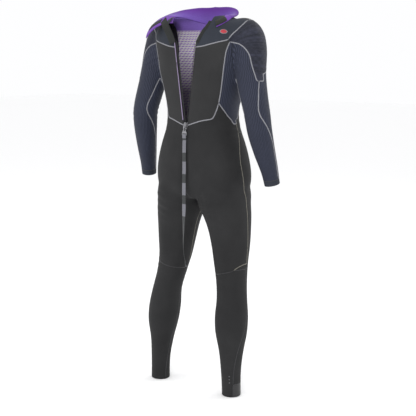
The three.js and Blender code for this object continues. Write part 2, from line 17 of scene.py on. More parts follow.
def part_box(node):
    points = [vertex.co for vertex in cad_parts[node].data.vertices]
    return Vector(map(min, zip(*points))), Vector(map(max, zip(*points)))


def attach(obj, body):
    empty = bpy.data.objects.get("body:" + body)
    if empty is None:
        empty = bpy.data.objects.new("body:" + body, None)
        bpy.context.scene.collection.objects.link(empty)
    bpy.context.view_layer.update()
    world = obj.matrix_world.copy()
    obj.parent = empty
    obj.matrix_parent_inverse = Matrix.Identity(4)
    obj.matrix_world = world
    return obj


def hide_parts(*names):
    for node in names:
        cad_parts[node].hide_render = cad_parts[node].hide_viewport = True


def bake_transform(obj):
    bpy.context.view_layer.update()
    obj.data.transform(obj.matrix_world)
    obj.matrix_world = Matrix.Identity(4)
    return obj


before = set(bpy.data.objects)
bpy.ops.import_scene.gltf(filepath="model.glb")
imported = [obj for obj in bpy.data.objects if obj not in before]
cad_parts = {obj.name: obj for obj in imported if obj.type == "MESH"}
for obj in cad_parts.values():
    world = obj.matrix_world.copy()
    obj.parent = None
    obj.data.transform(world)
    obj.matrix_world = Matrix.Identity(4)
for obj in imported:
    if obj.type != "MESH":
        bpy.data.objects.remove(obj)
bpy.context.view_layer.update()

# %% [markdown]
# The working drawing counts millimetres from the middle of the torso. The frame stands over the
# middle of its own box instead, so one measured offset, taken at the zip's teeth, joins the two.

# %% Drawing coordinates
MM = 0.001
ZIP_FOOT = 1000  # height of the zip's lower end, on the waist seam
ZIP_PLANE = -85.1  # depth of the middle of the teeth in the drawing
ZIP_OPEN = 0.1322  # half angle of the open V, radians

teeth_low, teeth_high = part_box("zip_teeth_right")
OFFSET_Y = (teeth_low.y + teeth_high.y) / 2 / MM - ZIP_PLANE


def place(x, y, z):
    return Vector((x, y + OFFSET_Y, z)) * MM


print("offset from the drawing to the frame, mm:", round(OFFSET_Y, 2))

# %% [markdown]
# The camera comes before the pieces, because a free cord is checked against what it sees. It looks
# at the suit from behind the right shoulder, from chest height and a little downwards.

# %% Camera
CAMERA_TURN = 37.0  # degrees round the suit from straight behind it
CAMERA_AWAY = 3530  # mm from the middle of the torso
CAMERA_HEIGHT = 1245
CAMERA_DOWN = 9.1  # degrees below level
CAMERA_ASIDE = 0.45  # degrees, turned a little to the right of the torso

turn = math.radians(CAMERA_TURN)
camera_data = bpy.data.cameras.new("camera")
camera_data.lens = 82.7
camera = bpy.data.objects.new("camera", camera_data)
bpy.context.scene.collection.objects.link(camera)
camera.location = place(math.sin(turn) * CAMERA_AWAY, -math.cos(turn) * CAMERA_AWAY, CAMERA_HEIGHT)
camera.rotation_euler = (math.radians(90 - CAMERA_DOWN), 0, math.radians(CAMERA_TURN - CAMERA_ASIDE))
bpy.context.scene.camera = camera
print("camera at", [round(v, 3) for v in camera.location])

# %% [markdown]
# Every piece here is a mesh of computed points. This helper makes the object, marks it smooth, and
# lays a second set of coordinates on it: metres across and along the cloth, which the weaves follow.


# %% Mesh helper
def cloth_piece(name, points, faces, across_along=None, finishes=(), face_finish=None, sharp=()):
    mesh = bpy.data.meshes.new(name)
    mesh.from_pydata([tuple(p) for p in points], [], [tuple(int(i) for i in f) for f in faces])
    mesh.polygons.foreach_set("use_smooth", [True] * len(mesh.polygons))
    for finish in finishes:
        mesh.materials.append(finish)
    if face_finish is not None:
        mesh.polygons.foreach_set("material_index", [int(i) for i in face_finish])
    if across_along is not None:
        layer = mesh.uv_layers.new(name="cloth")
        corner = np.empty(len(mesh.loops), dtype=np.int32)
        mesh.loops.foreach_get("vertex_index", corner)
        layer.data.foreach_set("uv", np.asarray(across_along, float)[corner].ravel())
    if len(sharp):
        wanted = {frozenset(e) for e in sharp}
        flags = [frozenset(e.vertices) in wanted for e in mesh.edges]
        mesh.attributes.new("sharp_edge", "BOOLEAN", "EDGE").data.foreach_set("value", flags)
    mesh.update()
    piece = bpy.data.objects.new(name, mesh)
    bpy.context.scene.collection.objects.link(piece)
    return piece


# %% [markdown]
# A finish is a small tree of nodes on the Principled shader. Most cloths need the same three things:
# a colour that drifts a little, a repeat such as a rib or a weave, and a bump made from that repeat.


# %% Finish helpers
def new_finish(name, roughness, metallic=0.0, sheen=0.0):
    finish = bpy.data.materials.new(name)
    finish.use_nodes = True
    shader = finish.node_tree.nodes["Principled BSDF"]
    shader.inputs["Roughness"].default_value = roughness
    shader.inputs["Metallic"].default_value = metallic
    shader.inputs["Sheen Weight"].default_value = sheen
    shader.inputs["Sheen Roughness"].default_value = 0.45
    return finish, finish.node_tree, shader


def add_node(tree, kind, **values):
    made = tree.nodes.new(kind)
    for key, value in values.items():
        if hasattr(made, key):
            setattr(made, key, value)
        else:
            made.inputs[key.replace("_", " ")].default_value = value
    return made


def maths(tree, operation, first, second=None):
    made = tree.nodes.new("ShaderNodeMath")
    made.operation = operation
    for socket, value in zip(made.inputs, (first, second)):
        if value is None:
            continue
        if isinstance(value, (int, float)):
            socket.default_value = value
        else:
            tree.links.new(value, socket)
    return made.outputs[0]


def cloth_axes(tree):
    uv = tree.nodes.new("ShaderNodeUVMap")
    uv.uv_map = "cloth"
    parts = tree.nodes.new("ShaderNodeSeparateXYZ")
    tree.links.new(uv.outputs[0], parts.inputs[0])
    return parts.outputs[0], parts.outputs[1]


def grain(tree, scale, detail=3.0, stretch=(1, 1, 1)):
    place_node = tree.nodes.new("ShaderNodeTexCoord")
    stretched = tree.nodes.new("ShaderNodeMapping")
    stretched.inputs["Scale"].default_value = stretch
    tree.links.new(place_node.outputs["Object"], stretched.inputs["Vector"])
    noise = add_node(tree, "ShaderNodeTexNoise", Scale=scale, Detail=detail)
    tree.links.new(stretched.outputs[0], noise.inputs["Vector"])
    return noise.outputs["Fac"]


def two_tone(tree, share, dark, light, low=0.3, high=0.7):
    ramp = tree.nodes.new("ShaderNodeValToRGB")
    ramp.color_ramp.elements[0].position = low
    ramp.color_ramp.elements[1].position = high
    ramp.color_ramp.elements[0].color = (*dark, 1)
    ramp.color_ramp.elements[1].color = (*light, 1)
    tree.links.new(share, ramp.inputs[0])
    return ramp.outputs[0]


def blend_colours(tree, share, under, over, how="MIX"):
    mix = tree.nodes.new("ShaderNodeMix")
    mix.data_type = "RGBA"
    mix.blend_type = how
    for socket, value in ((mix.inputs[0], share), (mix.inputs[6], under), (mix.inputs[7], over)):
        if isinstance(value, (int, float)):
            socket.default_value = value
        elif isinstance(value, tuple):
            socket.default_value = (*value, 1)
        else:
            tree.links.new(value, socket)
    return mix.outputs[2]


def raise_bump(tree, shader, height, depth, strength=1.0):
    bump = add_node(tree, "ShaderNodeBump", Strength=strength, Distance=depth)
    tree.links.new(height, bump.inputs["Height"])
    tree.links.new(bump.outputs[0], shader.inputs["Normal"])


def ripple(tree, coordinate, pitch):
    turned = maths(tree, "MULTIPLY", coordinate, 2 * math.pi / pitch)
    return maths(tree, "MULTIPLY_ADD", maths(tree, "SINE", turned), 0.5)


# %% [markdown]
# The panels use two nylon facings. The back, seat and legs have a fine matt black jersey. The arms
# and flanks have a slate facing with moulded ribs: a wave across the cloth, pushed from side to side
# along it, so that each rib has a slight zigzag. The shoulder caps have finer ribs across the arm.


# %% Neoprene facings
def jersey(name, dark, light, sheen=0.02):
    finish, tree, shader = new_finish(name, 0.78, sheen=sheen)
    shader.inputs["Specular IOR Level"].default_value = 0.25
    across, along = cloth_axes(tree)
    knit = maths(tree, "MULTIPLY", ripple(tree, across, 0.0016), ripple(tree, along, 0.0022))
    drift = grain(tree, 9.0, 5.0)
    worn = two_tone(tree, drift, dark, light)
    speck = grain(tree, 900.0, 2.0)
    mottled = two_tone(tree, speck, (0.72, 0.72, 0.72), (1.0, 1.0, 1.0), 0.35, 0.65)
    tree.links.new(blend_colours(tree, 0.7, worn, mottled, "MULTIPLY"), shader.inputs["Base Color"])
    height = maths(tree, "ADD", maths(tree, "MULTIPLY", knit, 0.5), maths(tree, "MULTIPLY", speck, 0.7))
    raise_bump(tree, shader, height, 0.00035, 0.55)
    return finish


def ribbed(name, dark, light, pitch, lengthwise, zigzag):
    finish, tree, shader = new_finish(name, 0.68, sheen=0.03)
    shader.inputs["Specular IOR Level"].default_value = 0.25
    across, along = cloth_axes(tree)
    if not lengthwise:
        across, along = along, across
    swing = maths(tree, "PINGPONG", along, 0.011)
    pushed = maths(tree, "ADD", across, maths(tree, "MULTIPLY", swing, zigzag))
    rib = ripple(tree, pushed, pitch)
    tone = two_tone(tree, rib, dark, light, 0.15, 0.85)
    drift = two_tone(tree, grain(tree, 12.0, 4.0), (0.82, 0.82, 0.82), (1.0, 1.0, 1.0))
    tree.links.new(blend_colours(tree, 0.8, tone, drift, "MULTIPLY"), shader.inputs["Base Color"])
    fuzz = maths(tree, "MULTIPLY", grain(tree, 1100.0, 2.0), 0.3)
    raise_bump(tree, shader, maths(tree, "ADD", rib, fuzz), 0.0009, 0.8)
    return finish


BLACK_JERSEY = jersey("black_jersey", (0.0125, 0.0125, 0.0135), (0.021, 0.021, 0.022))
BACK_JERSEY = jersey("back_jersey", (0.0195, 0.0195, 0.0205), (0.027, 0.027, 0.028))
YOKE_JERSEY = jersey("yoke_jersey", (0.019, 0.0225, 0.032), (0.027, 0.032, 0.044))
SLATE_RIB = ribbed("slate_rib", (0.012, 0.0145, 0.026), (0.031, 0.036, 0.062), 0.0062, True, 0.16)
CAP_RIB = ribbed("cap_rib", (0.013, 0.0145, 0.024), (0.027, 0.029, 0.048), 0.0046, False, 0.1)
print("facings:", BLACK_JERSEY.name, YOKE_JERSEY.name, SLATE_RIB.name, CAP_RIB.name)

# %% [markdown]
# The linings: brushed purple fleece, deeper at the collar's free edge, and a pale thermal pile with rows
# of short purple dashes, with painted shade that darkens it to black down the chest.


# %% Linings
# Painted shade: below these heights the pile's colour is darkened towards black, standing in for the
# shade deep inside the opening.
PILE_SHADE_FROM, PILE_SHADE_OVER = 1.08, 0.3  # metres up the chest, over which the pile comes out of black


def brushed(name, dark, light, edge=None):
    """Short fleece; edge is a deeper colour for the last of the cloth's height."""
    finish, tree, shader = new_finish(name, 0.85, sheen=0.1)
    fleece = grain(tree, 260.0, 5.0)
    drift = grain(tree, 14.0, 3.0)
    soft = two_tone(tree, maths(tree, "MULTIPLY_ADD", fleece, 0.5), dark, light, 0.4, 0.8)
    shade = two_tone(tree, drift, (0.8, 0.8, 0.8), (1.0, 1.0, 1.0))
    tone = blend_colours(tree, 0.8, soft, shade, "MULTIPLY")
    if edge:
        _, along = cloth_axes(tree)
        near_edge = two_tone(tree, maths(tree, "DIVIDE", along, 0.06), (0, 0, 0), (1, 1, 1), 0.35, 1.0)
        tone = blend_colours(tree, near_edge, tone, edge)
    tree.links.new(tone, shader.inputs["Base Color"])
    raise_bump(tree, shader, fleece, 0.0008, 0.5)
    return finish


def dashed_pile(name, pile, dash, cell_across, cell_along):
    finish, tree, shader = new_finish(name, 0.9, sheen=0.3)
    across, along = cloth_axes(tree)
    row = maths(tree, "DIVIDE", along, cell_along)
    shift = maths(tree, "MULTIPLY", maths(tree, "MODULO", maths(tree, "FLOOR", row), 2.0), 0.5)
    column = maths(tree, "ADD", maths(tree, "DIVIDE", across, cell_across), shift)
    x = maths(tree, "SUBTRACT", maths(tree, "FRACT", column), 0.5)
    y = maths(tree, "SUBTRACT", maths(tree, "FRACT", row), 0.5)
    off_line = maths(tree, "ABSOLUTE", maths(tree, "SUBTRACT", y, maths(tree, "MULTIPLY", x, 0.45)))
    on_line = maths(tree, "LESS_THAN", off_line, 0.17)
    in_length = maths(tree, "LESS_THAN", maths(tree, "ABSOLUTE", x), 0.4)
    mark = maths(tree, "MULTIPLY", on_line, in_length)
    tufts = grain(tree, 420.0, 4.0)
    ground = two_tone(tree, tufts, tuple(0.85 * c for c in pile), pile)
    printed = blend_colours(tree, mark, ground, dash)
    # painted shade: the pile's colour is multiplied towards black low on the chest, for the shade inside
    # the opening
    up_chest = maths(tree, "DIVIDE", maths(tree, "SUBTRACT", along, PILE_SHADE_FROM), PILE_SHADE_OVER)
    painted_shade_low = two_tone(tree, up_chest, (0.1, 0.09, 0.11), (1, 1, 1), 0.08, 0.6)
    tree.links.new(blend_colours(tree, 1.0, printed, painted_shade_low, "MULTIPLY"), shader.inputs["Base Color"])
    height = maths(tree, "SUBTRACT", tufts, maths(tree, "MULTIPLY", mark, 0.6))
    raise_bump(tree, shader, height, 0.0012, 0.6)
    return finish


PURPLE = brushed("purple_lining", (0.21, 0.115, 0.52), (0.33, 0.19, 0.74))
PURPLE_COLLAR = brushed("purple_collar", (0.085, 0.042, 0.25), (0.15, 0.072, 0.39), (0.085, 0.014, 0.22))
PURPLE_FOLD = brushed("purple_fold", (0.075, 0.014, 0.20), (0.135, 0.032, 0.33))
CHEST_PILE = dashed_pile("chest_pile", (0.97, 0.94, 0.97), (0.36, 0.12, 0.66), 0.0115, 0.0095)
INSIDE = brushed("inside_lining", (0.018, 0.016, 0.022), (0.035, 0.03, 0.045))

# %% [markdown]
# The trims are small, and each has its own surface: loops stand up from the hook-and-loop, printed
# rubber is smooth and shows soft highlights, and webbing is woven in cords with pale blocks.


# %% Trim finishes
def hook_and_loop(name):
    finish, tree, shader = new_finish(name, 0.95, sheen=0.04)
    loops = grain(tree, 700.0, 6.0)
    tone = two_tone(tree, loops, (0.005, 0.006, 0.0055), (0.016, 0.018, 0.0165))
    tree.links.new(tone, shader.inputs["Base Color"])
    raise_bump(tree, shader, loops, 0.0014, 0.9)
    return finish


def printed_rubber(name, tone, roughness):
    finish, tree, shader = new_finish(name, roughness)
    drift = grain(tree, 30.0, 4.0)
    lighter = tuple(1.6 * c for c in tone)
    tree.links.new(two_tone(tree, drift, tone, lighter), shader.inputs["Base Color"])
    skin = grain(tree, 500.0, 3.0)
    raise_bump(tree, shader, skin, 0.0003, 0.35)
    uneven = maths(tree, "MULTIPLY_ADD", drift, 0.2)
    uneven.node.inputs[2].default_value = roughness - 0.1
    tree.links.new(uneven, shader.inputs["Roughness"])
    return finish


def woven(name, ground, block, first, length, pitch, blocks):
    finish, tree, shader = new_finish(name, 0.7, sheen=0.1)
    across, along = cloth_axes(tree)
    weave = maths(tree, "MULTIPLY", ripple(tree, across, 0.0016), ripple(tree, along, 0.0022))
    start = maths(tree, "SUBTRACT", along, first)
    inside = maths(tree, "LESS_THAN", maths(tree, "MODULO", start, pitch), length)
    began = maths(tree, "GREATER_THAN", start, 0.0)
    ended = maths(tree, "LESS_THAN", start, pitch * blocks)
    shown = maths(tree, "MULTIPLY", maths(tree, "MULTIPLY", inside, began), ended)
    tone = blend_colours(tree, shown, ground, block)
    cords = two_tone(tree, weave, (0.55, 0.55, 0.55), (1.0, 1.0, 1.0), 0.1, 0.6)
    tree.links.new(blend_colours(tree, 0.8, tone, cords, "MULTIPLY"), shader.inputs["Base Color"])
    raise_bump(tree, shader, weave, 0.0006, 0.7)
    return finish


def cast_metal(name, tone, roughness):
    finish, tree, shader = new_finish(name, roughness, metallic=1.0)
    tarnish = grain(tree, 120.0, 4.0)
    dull = tuple(0.6 * c for c in tone)
    tree.links.new(two_tone(tree, tarnish, dull, tone), shader.inputs["Base Color"])
    raise_bump(tree, shader, grain(tree, 1500.0, 2.0), 0.0002, 0.3)
    return finish


def stitched(name, thread, gap, stitch):
    finish, tree, shader = new_finish(name, 0.6, sheen=0.1)
    across, along = cloth_axes(tree)
    slanted = maths(tree, "ADD", along, maths(tree, "MULTIPLY", across, 0.35))
    row = ripple(tree, slanted, stitch)
    tree.links.new(two_tone(tree, row, gap, thread, 0.1, 0.55), shader.inputs["Base Color"])
    raise_bump(tree, shader, row, 0.0006, 0.8)
    return finish


HOOK_AND_LOOP = hook_and_loop("hook_and_loop")
GRIP_RUBBER = printed_rubber("grip_rubber", (0.009, 0.009, 0.010), 0.34)
RED_PRINT = printed_rubber("red_print", (0.27, 0.008, 0.018), 0.55)
GREY_PRINT = printed_rubber("grey_print", (0.12, 0.125, 0.135), 0.55)
WEBBING = woven("webbing", (0.030, 0.034, 0.036), (0.19, 0.19, 0.22), 0.016, 0.045, 0.0776, 4)
SLIDER_METAL = cast_metal("slider_metal", (0.36, 0.36, 0.38), 0.4)
PALE_THREAD = stitched("pale_thread", (0.27, 0.27, 0.295), (0.125, 0.125, 0.14), 0.0024)
OLIVE_THREAD = stitched("olive_thread", (0.19, 0.18, 0.145), (0.08, 0.075, 0.06), 0.0024)
DARK_THREAD = stitched("dark_thread", (0.022, 0.022, 0.026), (0.008, 0.008, 0.010), 0.0024)
ZIP_TAPE = woven("zip_tape", (0.012, 0.012, 0.014), (0.012, 0.012, 0.014), 0.0, 0.01, 0.02, 1)
ZIP_TEETH = printed_rubber("zip_teeth", (0.014, 0.014, 0.016), 0.38)
LILAC_PIPING = stitched("lilac_piping", (0.30, 0.24, 0.38), (0.16, 0.12, 0.22), 0.003)
print("finishes:", len(bpy.data.materials))

# %% [markdown]
# The pull strap is a free cord, so it is settled first: a flat band of webbing, 16 mm wide and about
# 0.46 m long, hanging from the pull. It hangs flat at the top, then turns edge-on, as a limp band
# does. A smooth line through a few chosen points gives its route, and a rounded section is swept
# along it.


# %% Curves and swept bands
def smooth_line(points, steps):
    """Points on one smooth line through the given ones."""
    p = np.array(points, float)
    p = np.vstack([2 * p[0] - p[1], p, 2 * p[-1] - p[-2]])
    line = []
    for a, b, c, d in zip(p, p[1:], p[2:], p[3:]):
        for t in np.arange(steps) / steps:
            curve = 2 * b + (c - a) * t + (2 * a - 5 * b + 4 * c - d) * t**2
            line.append(0.5 * (curve + (3 * b - a - 3 * c + d) * t**3))
    return np.array([*line, p[-2]])


def unit(v):
    return v / np.maximum(np.linalg.norm(v, axis=-1, keepdims=True), 1e-9)


def length_along(line):
    return np.concatenate([[0], np.cumsum(np.linalg.norm(np.diff(line, axis=0), axis=1))])


def swept_band(name, line, side, width, thickness, finish, corner=12):
    """A flat band with rounded edges along a line in metres; side points across it."""
    travel = unit(np.gradient(line, axis=0))
    side = unit(side - travel * (side * travel).sum(1, keepdims=True))
    lift = np.cross(travel, side)
    turns = 2 * np.pi * np.arange(corner) / corner
    u = np.sign(np.cos(turns)) * np.abs(np.cos(turns)) ** 0.35 * width / 2
    v = np.sign(np.sin(turns)) * np.abs(np.sin(turns)) ** 0.7 * thickness / 2
    rings = line[:, None] + u[None, :, None] * side[:, None] + v[None, :, None] * lift[:, None]
    points = rings.reshape(-1, 3)
    faces = []
    for r in range(len(line) - 1):
        for i in range(corner):
            j = (i + 1) % corner
            base, above = r * corner, (r + 1) * corner
            faces.append((base + i, base + j, above + j, above + i))
    faces.append(tuple(range(corner))[::-1])
    last = (len(line) - 1) * corner
    faces.append(tuple(last + i for i in range(corner)))
    along = np.repeat(length_along(line), corner)
    across = np.tile(u, len(line))
    return cloth_piece(name, points, faces, np.column_stack([across, along]), [finish])


# %% The pull strap
STRAP_WIDTH = 16
STRAP_THICK = 1.7
PIVOT_Y, PIVOT_Z = -96.5, ZIP_FOOT - 11.2  # where the pull turns in the slider's bail
SLOT_Z = PIVOT_Z - 29.3  # the slot at the foot of the pull

route = [(0, PIVOT_Y, SLOT_Z - 3), (0, PIVOT_Y - 0.5, SLOT_Z - 18), (1, -99.5, 925), (3, -103, 880),
         (5, -105.5, 840), (5, -107, 800), (5, -107.5, 750), (5, -107.5, 700), (4, -108, 650),
         (4, -109.5, 600), (4, -111, 560), (7, -112, 525), (13, -112.5, 497)]
strap_line = smooth_line([place(*p) for p in route], 6)
strap_length = length_along(strap_line)
share = strap_length / strap_length[-1]
late = np.clip((share - 0.58) / 0.42, 0, 1)
twist = -0.9 * np.sin(late * math.pi * 0.55)
strap_side = np.column_stack([np.cos(twist), np.sin(twist), 0 * twist])
strap_size = (STRAP_WIDTH * MM, STRAP_THICK * MM)
strap = swept_band("pull_strap_webbing", strap_line, strap_side, *strap_size, WEBBING)
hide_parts("pull_strap")
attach(strap, "strap")

end_line = smooth_line([place(13.2, -112.5, 497.5), place(15, -112.5, 488), place(17, -112.5, 479)], 8)
end_side = np.tile([math.cos(twist[-1]), math.sin(twist[-1]), 0], (len(end_line), 1))
strap_end = swept_band("strap_sewn_end", end_line, end_side, STRAP_WIDTH * MM, 3.6 * MM, WEBBING)
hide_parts("strap_end")
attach(strap_end, "strap")

PLY = 2.4
loop = [(0, PIVOT_Y + PLY, SLOT_Z - 10), (0, PIVOT_Y + PLY, SLOT_Z), (0, PIVOT_Y, SLOT_Z + 3.5),
        (0, PIVOT_Y - PLY, SLOT_Z), (0, PIVOT_Y - PLY, SLOT_Z - 12)]
loop_line = smooth_line([place(*p) for p in loop], 8)
loop_side = np.tile([1.0, 0, 0], (len(loop_line), 1))
strap_loop = swept_band("strap_sewn_loop", loop_line, loop_side, STRAP_WIDTH * MM, 1.2 * MM, WEBBING)
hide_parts("strap_loop")
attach(strap_loop, "strap")

print("strap length, m:", round(float(strap_length[-1]), 3))

# %% [markdown]
# The suit is fitted to a body, so its surface starts as that body: one tube for the torso, one for
# each leg and one for each sleeve. Each tube is a chart of girths at a few heights, with a smooth
# curve through them. A few dozen measurements give a shape that would take long to push by hand.

# %% The measurement chart
# Torso: height, half width, back and front of the ring, and how square its corners are.
TORSO = np.array([
    (722, 120, -55, 92, 2.2), (734, 152, -76, 118, 2.2), (752, 178, -92, 134, 2.25),
    (778, 189, -99, 141, 2.3), (805, 191, -101, 143, 2.3),
    (864, 184, -100, 138, 2.3), (924, 168, -95, 130, 2.25), (984, 147, -90, 124, 2.15),
    (1042, 141, -90, 122, 2.15), (1115, 158, -90, 131, 2.25), (1176, 176, -91, 137, 2.4),
    (1235, 188, -91, 135, 2.45), (1285, 195, -90, 127, 2.5), (1325, 191, -89, 112, 2.4),
    (1352, 170, -83, 97, 2.3), (1374, 140, -70, 85, 2.2), (1388, 108, -60, 74, 2.1),
])
# Leg: height, middle of the ring (x, y), radius across and radius front to back.
LEG = np.array([
    (-16, 169, -36, 36, 36), (0, 169, -36, 36, 36), (93, 167, -36, 38, 38), (157, 164, -31, 45, 45),
    (245, 160, -25, 60, 61), (294, 157, -20, 62, 62), (353, 153, -12, 57, 58), (421, 141, 3, 57, 59),
    (490, 130, 14, 64, 65), (549, 126, 18, 72, 72), (627, 116, 20, 82, 85), (665, 107, 20, 89, 94),
    (703, 96, 20, 93, 107), (740, 94, 21, 93, 112), (790, 86, 22, 84, 110),
])
# Sleeve: middle of the ring (x, y, z) down the arm, and its radius.
SLEEVE = np.array([
    (140, 24, 1316, 54), (183, 25, 1311, 62), (205, 20, 1262, 60), (220, 5, 1176, 54),
    (238, -4, 1105, 50), (256, -8, 1039, 47), (263, -2, 980, 45), (272, 15, 907, 39),
    (282, 36, 835, 32), (287, 46, 786, 29), (289.5, 51, 764, 28),
])
WRIST = SLEEVE[-2, :3]
WRIST_ALONG = unit(SLEEVE[-2, :3] - SLEEVE[-3, :3])
AROUND = 96
STEP = 6  # mm between rings

turns = 2 * np.pi * np.arange(AROUND) / AROUND


def chart_at(chart, heights):
    """The chart's columns at other heights, with smooth slopes between its rows."""
    z = chart[:, 0]
    i = np.clip(np.searchsorted(z, heights, side="right") - 1, 0, len(z) - 2)
    span = z[i + 1] - z[i]
    t = (heights - z[i]) / span
    columns = []
    for column in chart.T[1:]:
        slope = np.gradient(column, z)
        start = (2 * t**3 - 3 * t**2 + 1) * column[i] + (t**3 - 2 * t**2 + t) * span * slope[i]
        end = (3 * t**2 - 2 * t**3) * column[i + 1] + (t**3 - t**2) * span * slope[i + 1]
        columns.append(start + end)
    return columns


def torso_rings():
    z = np.arange(TORSO[0, 0], TORSO[-1, 0] + 1, STEP)
    half, back, front, square = (c[:, None] for c in chart_at(TORSO, z))
    c, s = np.cos(turns)[None], np.sin(turns)[None]
    x = half * np.sign(c) * np.abs(c) ** (2 / square)
    y = (back + front) / 2 + (front - back) / 2 * np.sign(s) * np.abs(s) ** (2 / square)
    return np.stack([x, y, np.broadcast_to(z[:, None], x.shape)], 2)


def leg_rings(side):
    z = np.arange(LEG[0, 0], LEG[-1, 0] + 1, STEP)
    cx, cy, across, deep = (c[:, None] for c in chart_at(LEG, z))
    x = side * cx + across * np.cos(turns)
    y = cy + deep * np.sin(turns)
    return np.stack([x, y, np.broadcast_to(z[:, None], x.shape)], 2)


def sleeve_line():
    return smooth_line(SLEEVE, 8)


def sleeve_rings(side):
    line = sleeve_line()
    middle = line[:, :3] * (side, 1, 1)
    along = unit(np.gradient(middle, axis=0))
    across = unit(np.cross((0, 1, 0), along))
    forward = np.cross(along, across)
    radius = line[:, 3][:, None, None]
    turn_cos, turn_sin = np.cos(turns)[None, :, None], np.sin(turns)[None, :, None]
    ring = turn_cos * across[:, None] + turn_sin * forward[:, None]
    return middle[:, None] + radius * ring


print("rings:", len(torso_rings()), len(leg_rings(1)), len(sleeve_rings(1)))

# %% [markdown]
# The five tubes overlap at the shoulders and hips. A voxel remesh joins them into one skin of even
# small faces, and a few rounds of smoothing turn the joins into the soft hollows of an armpit or a
# groin. After that the mesh is plain arrays of points and triangles, which are quick to cut.


# %% One smooth skin
VOXEL = 5.2  # mm


def tube_mesh(bm, rings):
    rows = [[bm.verts.new(p * MM) for p in ring] for ring in rings]
    for low, high in zip(rows, rows[1:]):
        for i in range(len(low)):
            j = (i + 1) % len(low)
            bm.faces.new((low[i], low[j], high[j], high[i]))
    bm.faces.new(rows[0][::-1])
    bm.faces.new(rows[-1])


def remeshed_body():
    bm = bmesh.new()
    tube_mesh(bm, torso_rings())
    for side in (1, -1):
        tube_mesh(bm, leg_rings(side))
        tube_mesh(bm, sleeve_rings(side))
    bmesh.ops.recalc_face_normals(bm, faces=bm.faces)
    mesh = bpy.data.meshes.new("body_form")
    bm.to_mesh(mesh)
    bm.free()
    form = bpy.data.objects.new("body_form", mesh)
    bpy.context.scene.collection.objects.link(form)
    remesh = form.modifiers.new("remesh", "REMESH")
    remesh.mode = "VOXEL"
    remesh.voxel_size = VOXEL * MM
    evaluated = form.evaluated_get(bpy.context.evaluated_depsgraph_get())
    joined = bpy.data.meshes.new_from_object(evaluated)
    joined.calc_loop_triangles()
    points = np.empty(len(joined.vertices) * 3)
    joined.vertices.foreach_get("co", points)
    corners = np.empty(len(joined.loop_triangles) * 3, dtype=np.int32)
    joined.loop_triangles.foreach_get("vertices", corners)
    bpy.data.objects.remove(form)
    bpy.data.meshes.remove(joined)
    bpy.data.meshes.remove(mesh)
    return points.reshape(-1, 3) / MM, corners.reshape(-1, 3)


def relaxed(points, triangles, rounds):
    edges = np.vstack([triangles[:, [0, 1]], triangles[:, [1, 2]], triangles[:, [2, 0]]])
    edges = np.unique(np.sort(edges, axis=1), axis=0)
    count = np.bincount(edges.ravel(), minlength=len(points))[:, None]
    for _ in range(rounds):
        total = np.zeros_like(points)
        for axis in range(3):
            total[:, axis] = (np.bincount(edges[:, 0], points[edges[:, 1], axis], len(points))
                              + np.bincount(edges[:, 1], points[edges[:, 0], axis], len(points)))
        points = 0.5 * points + 0.5 * total / count
    return points


def corner_normals(points, triangles):
    a, b, c = (points[triangles[:, k]] for k in range(3))
    face = np.cross(b - a, c - a)
    total = np.zeros_like(points)
    for axis in range(3):
        for k in range(3):
            total[:, axis] += np.bincount(triangles[:, k], face[:, axis], len(points))
    return unit(total)


points, triangles = remeshed_body()
points = relaxed(points, triangles, 9)
normals = corner_normals(points, triangles)
if (normals * (points - points.mean(0))).sum(1).mean() < 0:
    triangles = triangles[:, ::-1]
    normals = -normals
print("skin points:", len(points), "triangles:", len(triangles))

# %% [markdown]
# A worn suit isn't quite a smooth form. The seat has a hollow down its middle, and the sheet buckles
# a little where it is folded: under the arm, inside the elbow and behind the knee. Each set of folds
# is a short wave that fades out from its middle, pushed along the skin's own normals.

# %% Seat, folds and small dents
# Middle of the folds (x, y, z), direction across them, spacing, reach and depth, all in mm.
FOLDS = [
    ((185, -40, 1235), (0.5, 0.0, 0.86), 21, 40, 1.5), ((172, -62, 1215), (0.9, 0, -0.44), 17, 26, 1.2),
    ((190, 70, 1240), (0.55, 0.0, 0.83), 22, 45, 0.6), ((243, 38, 1040), (0.15, 0.1, 0.98), 18, 42, 1.2),
    ((262, -52, 1030), (0.1, 0.2, 0.97), 20, 36, 0.8), ((146, -55, 452), (0.1, 0.0, 0.99), 21, 46, 1.2),
    ((134, 62, 392), (0.0, 0.0, 1.0), 24, 40, 0.8), ((120, -70, 690), (-0.25, 0.0, 0.97), 30, 55, 1.2),
    ((150, 20, 1000), (0.0, 0.1, 0.99), 26, 55, 0.9), ((166, -60, 120), (0.0, 0.0, 1.0), 17, 40, 0.5),
]


def shaped(points, normals):
    x, y, z = np.abs(points[:, 0]), points[:, 1], points[:, 2]
    push = np.zeros(len(points))
    behind = 1 / (1 + np.exp((y + 30) / 12))
    seat = np.clip((z - 735) / 60, 0, 1) * np.clip((905 - z) / 60, 0, 1)
    push -= 10 * behind * seat * np.exp(-((x / 15) ** 2))
    push += 3 * behind * np.exp(-(((x - 88) / 55) ** 2) - ((z - 815) / 55) ** 2)
    push -= 3.5 * behind * np.exp(-(((x - 88) / 52) ** 2) - ((z - 722 + 0.12 * (x - 88)) / 14) ** 2)
    push += 3 * behind * np.exp(-(((x - 105) / 45) ** 2) - ((z - 1215) / 60) ** 2)
    for middle, direction, spacing, reach, depth in FOLDS:
        away = np.stack([x, y, z], 1) - middle
        wave = np.cos(2 * np.pi * (away @ np.array(direction)) / spacing)
        push += depth * wave * np.exp(-((away**2).sum(1)) / reach**2)
    push += (0.5 * np.sin(points[:, 0] / 23 + 1) * np.sin(points[:, 1] / 31)
             * np.sin(points[:, 2] / 37 + 2))
    return points + normals * push[:, None]


points = shaped(points, normals)
normals = corner_normals(points, triangles)
print("skin box, mm:", points.min(0).round(), points.max(0).round())

# %% [markdown]
# Panels are cut as a pattern cutter would: a closed outline is drawn on a flat view of the suit, from
# behind or from the side, and everything inside it is one panel. For each outline we work out every
# point's distance to the line, positive inside. A triangle that the line crosses is split exactly
# where that distance is zero, so a seam runs smoothly through a mesh that knew nothing about it.

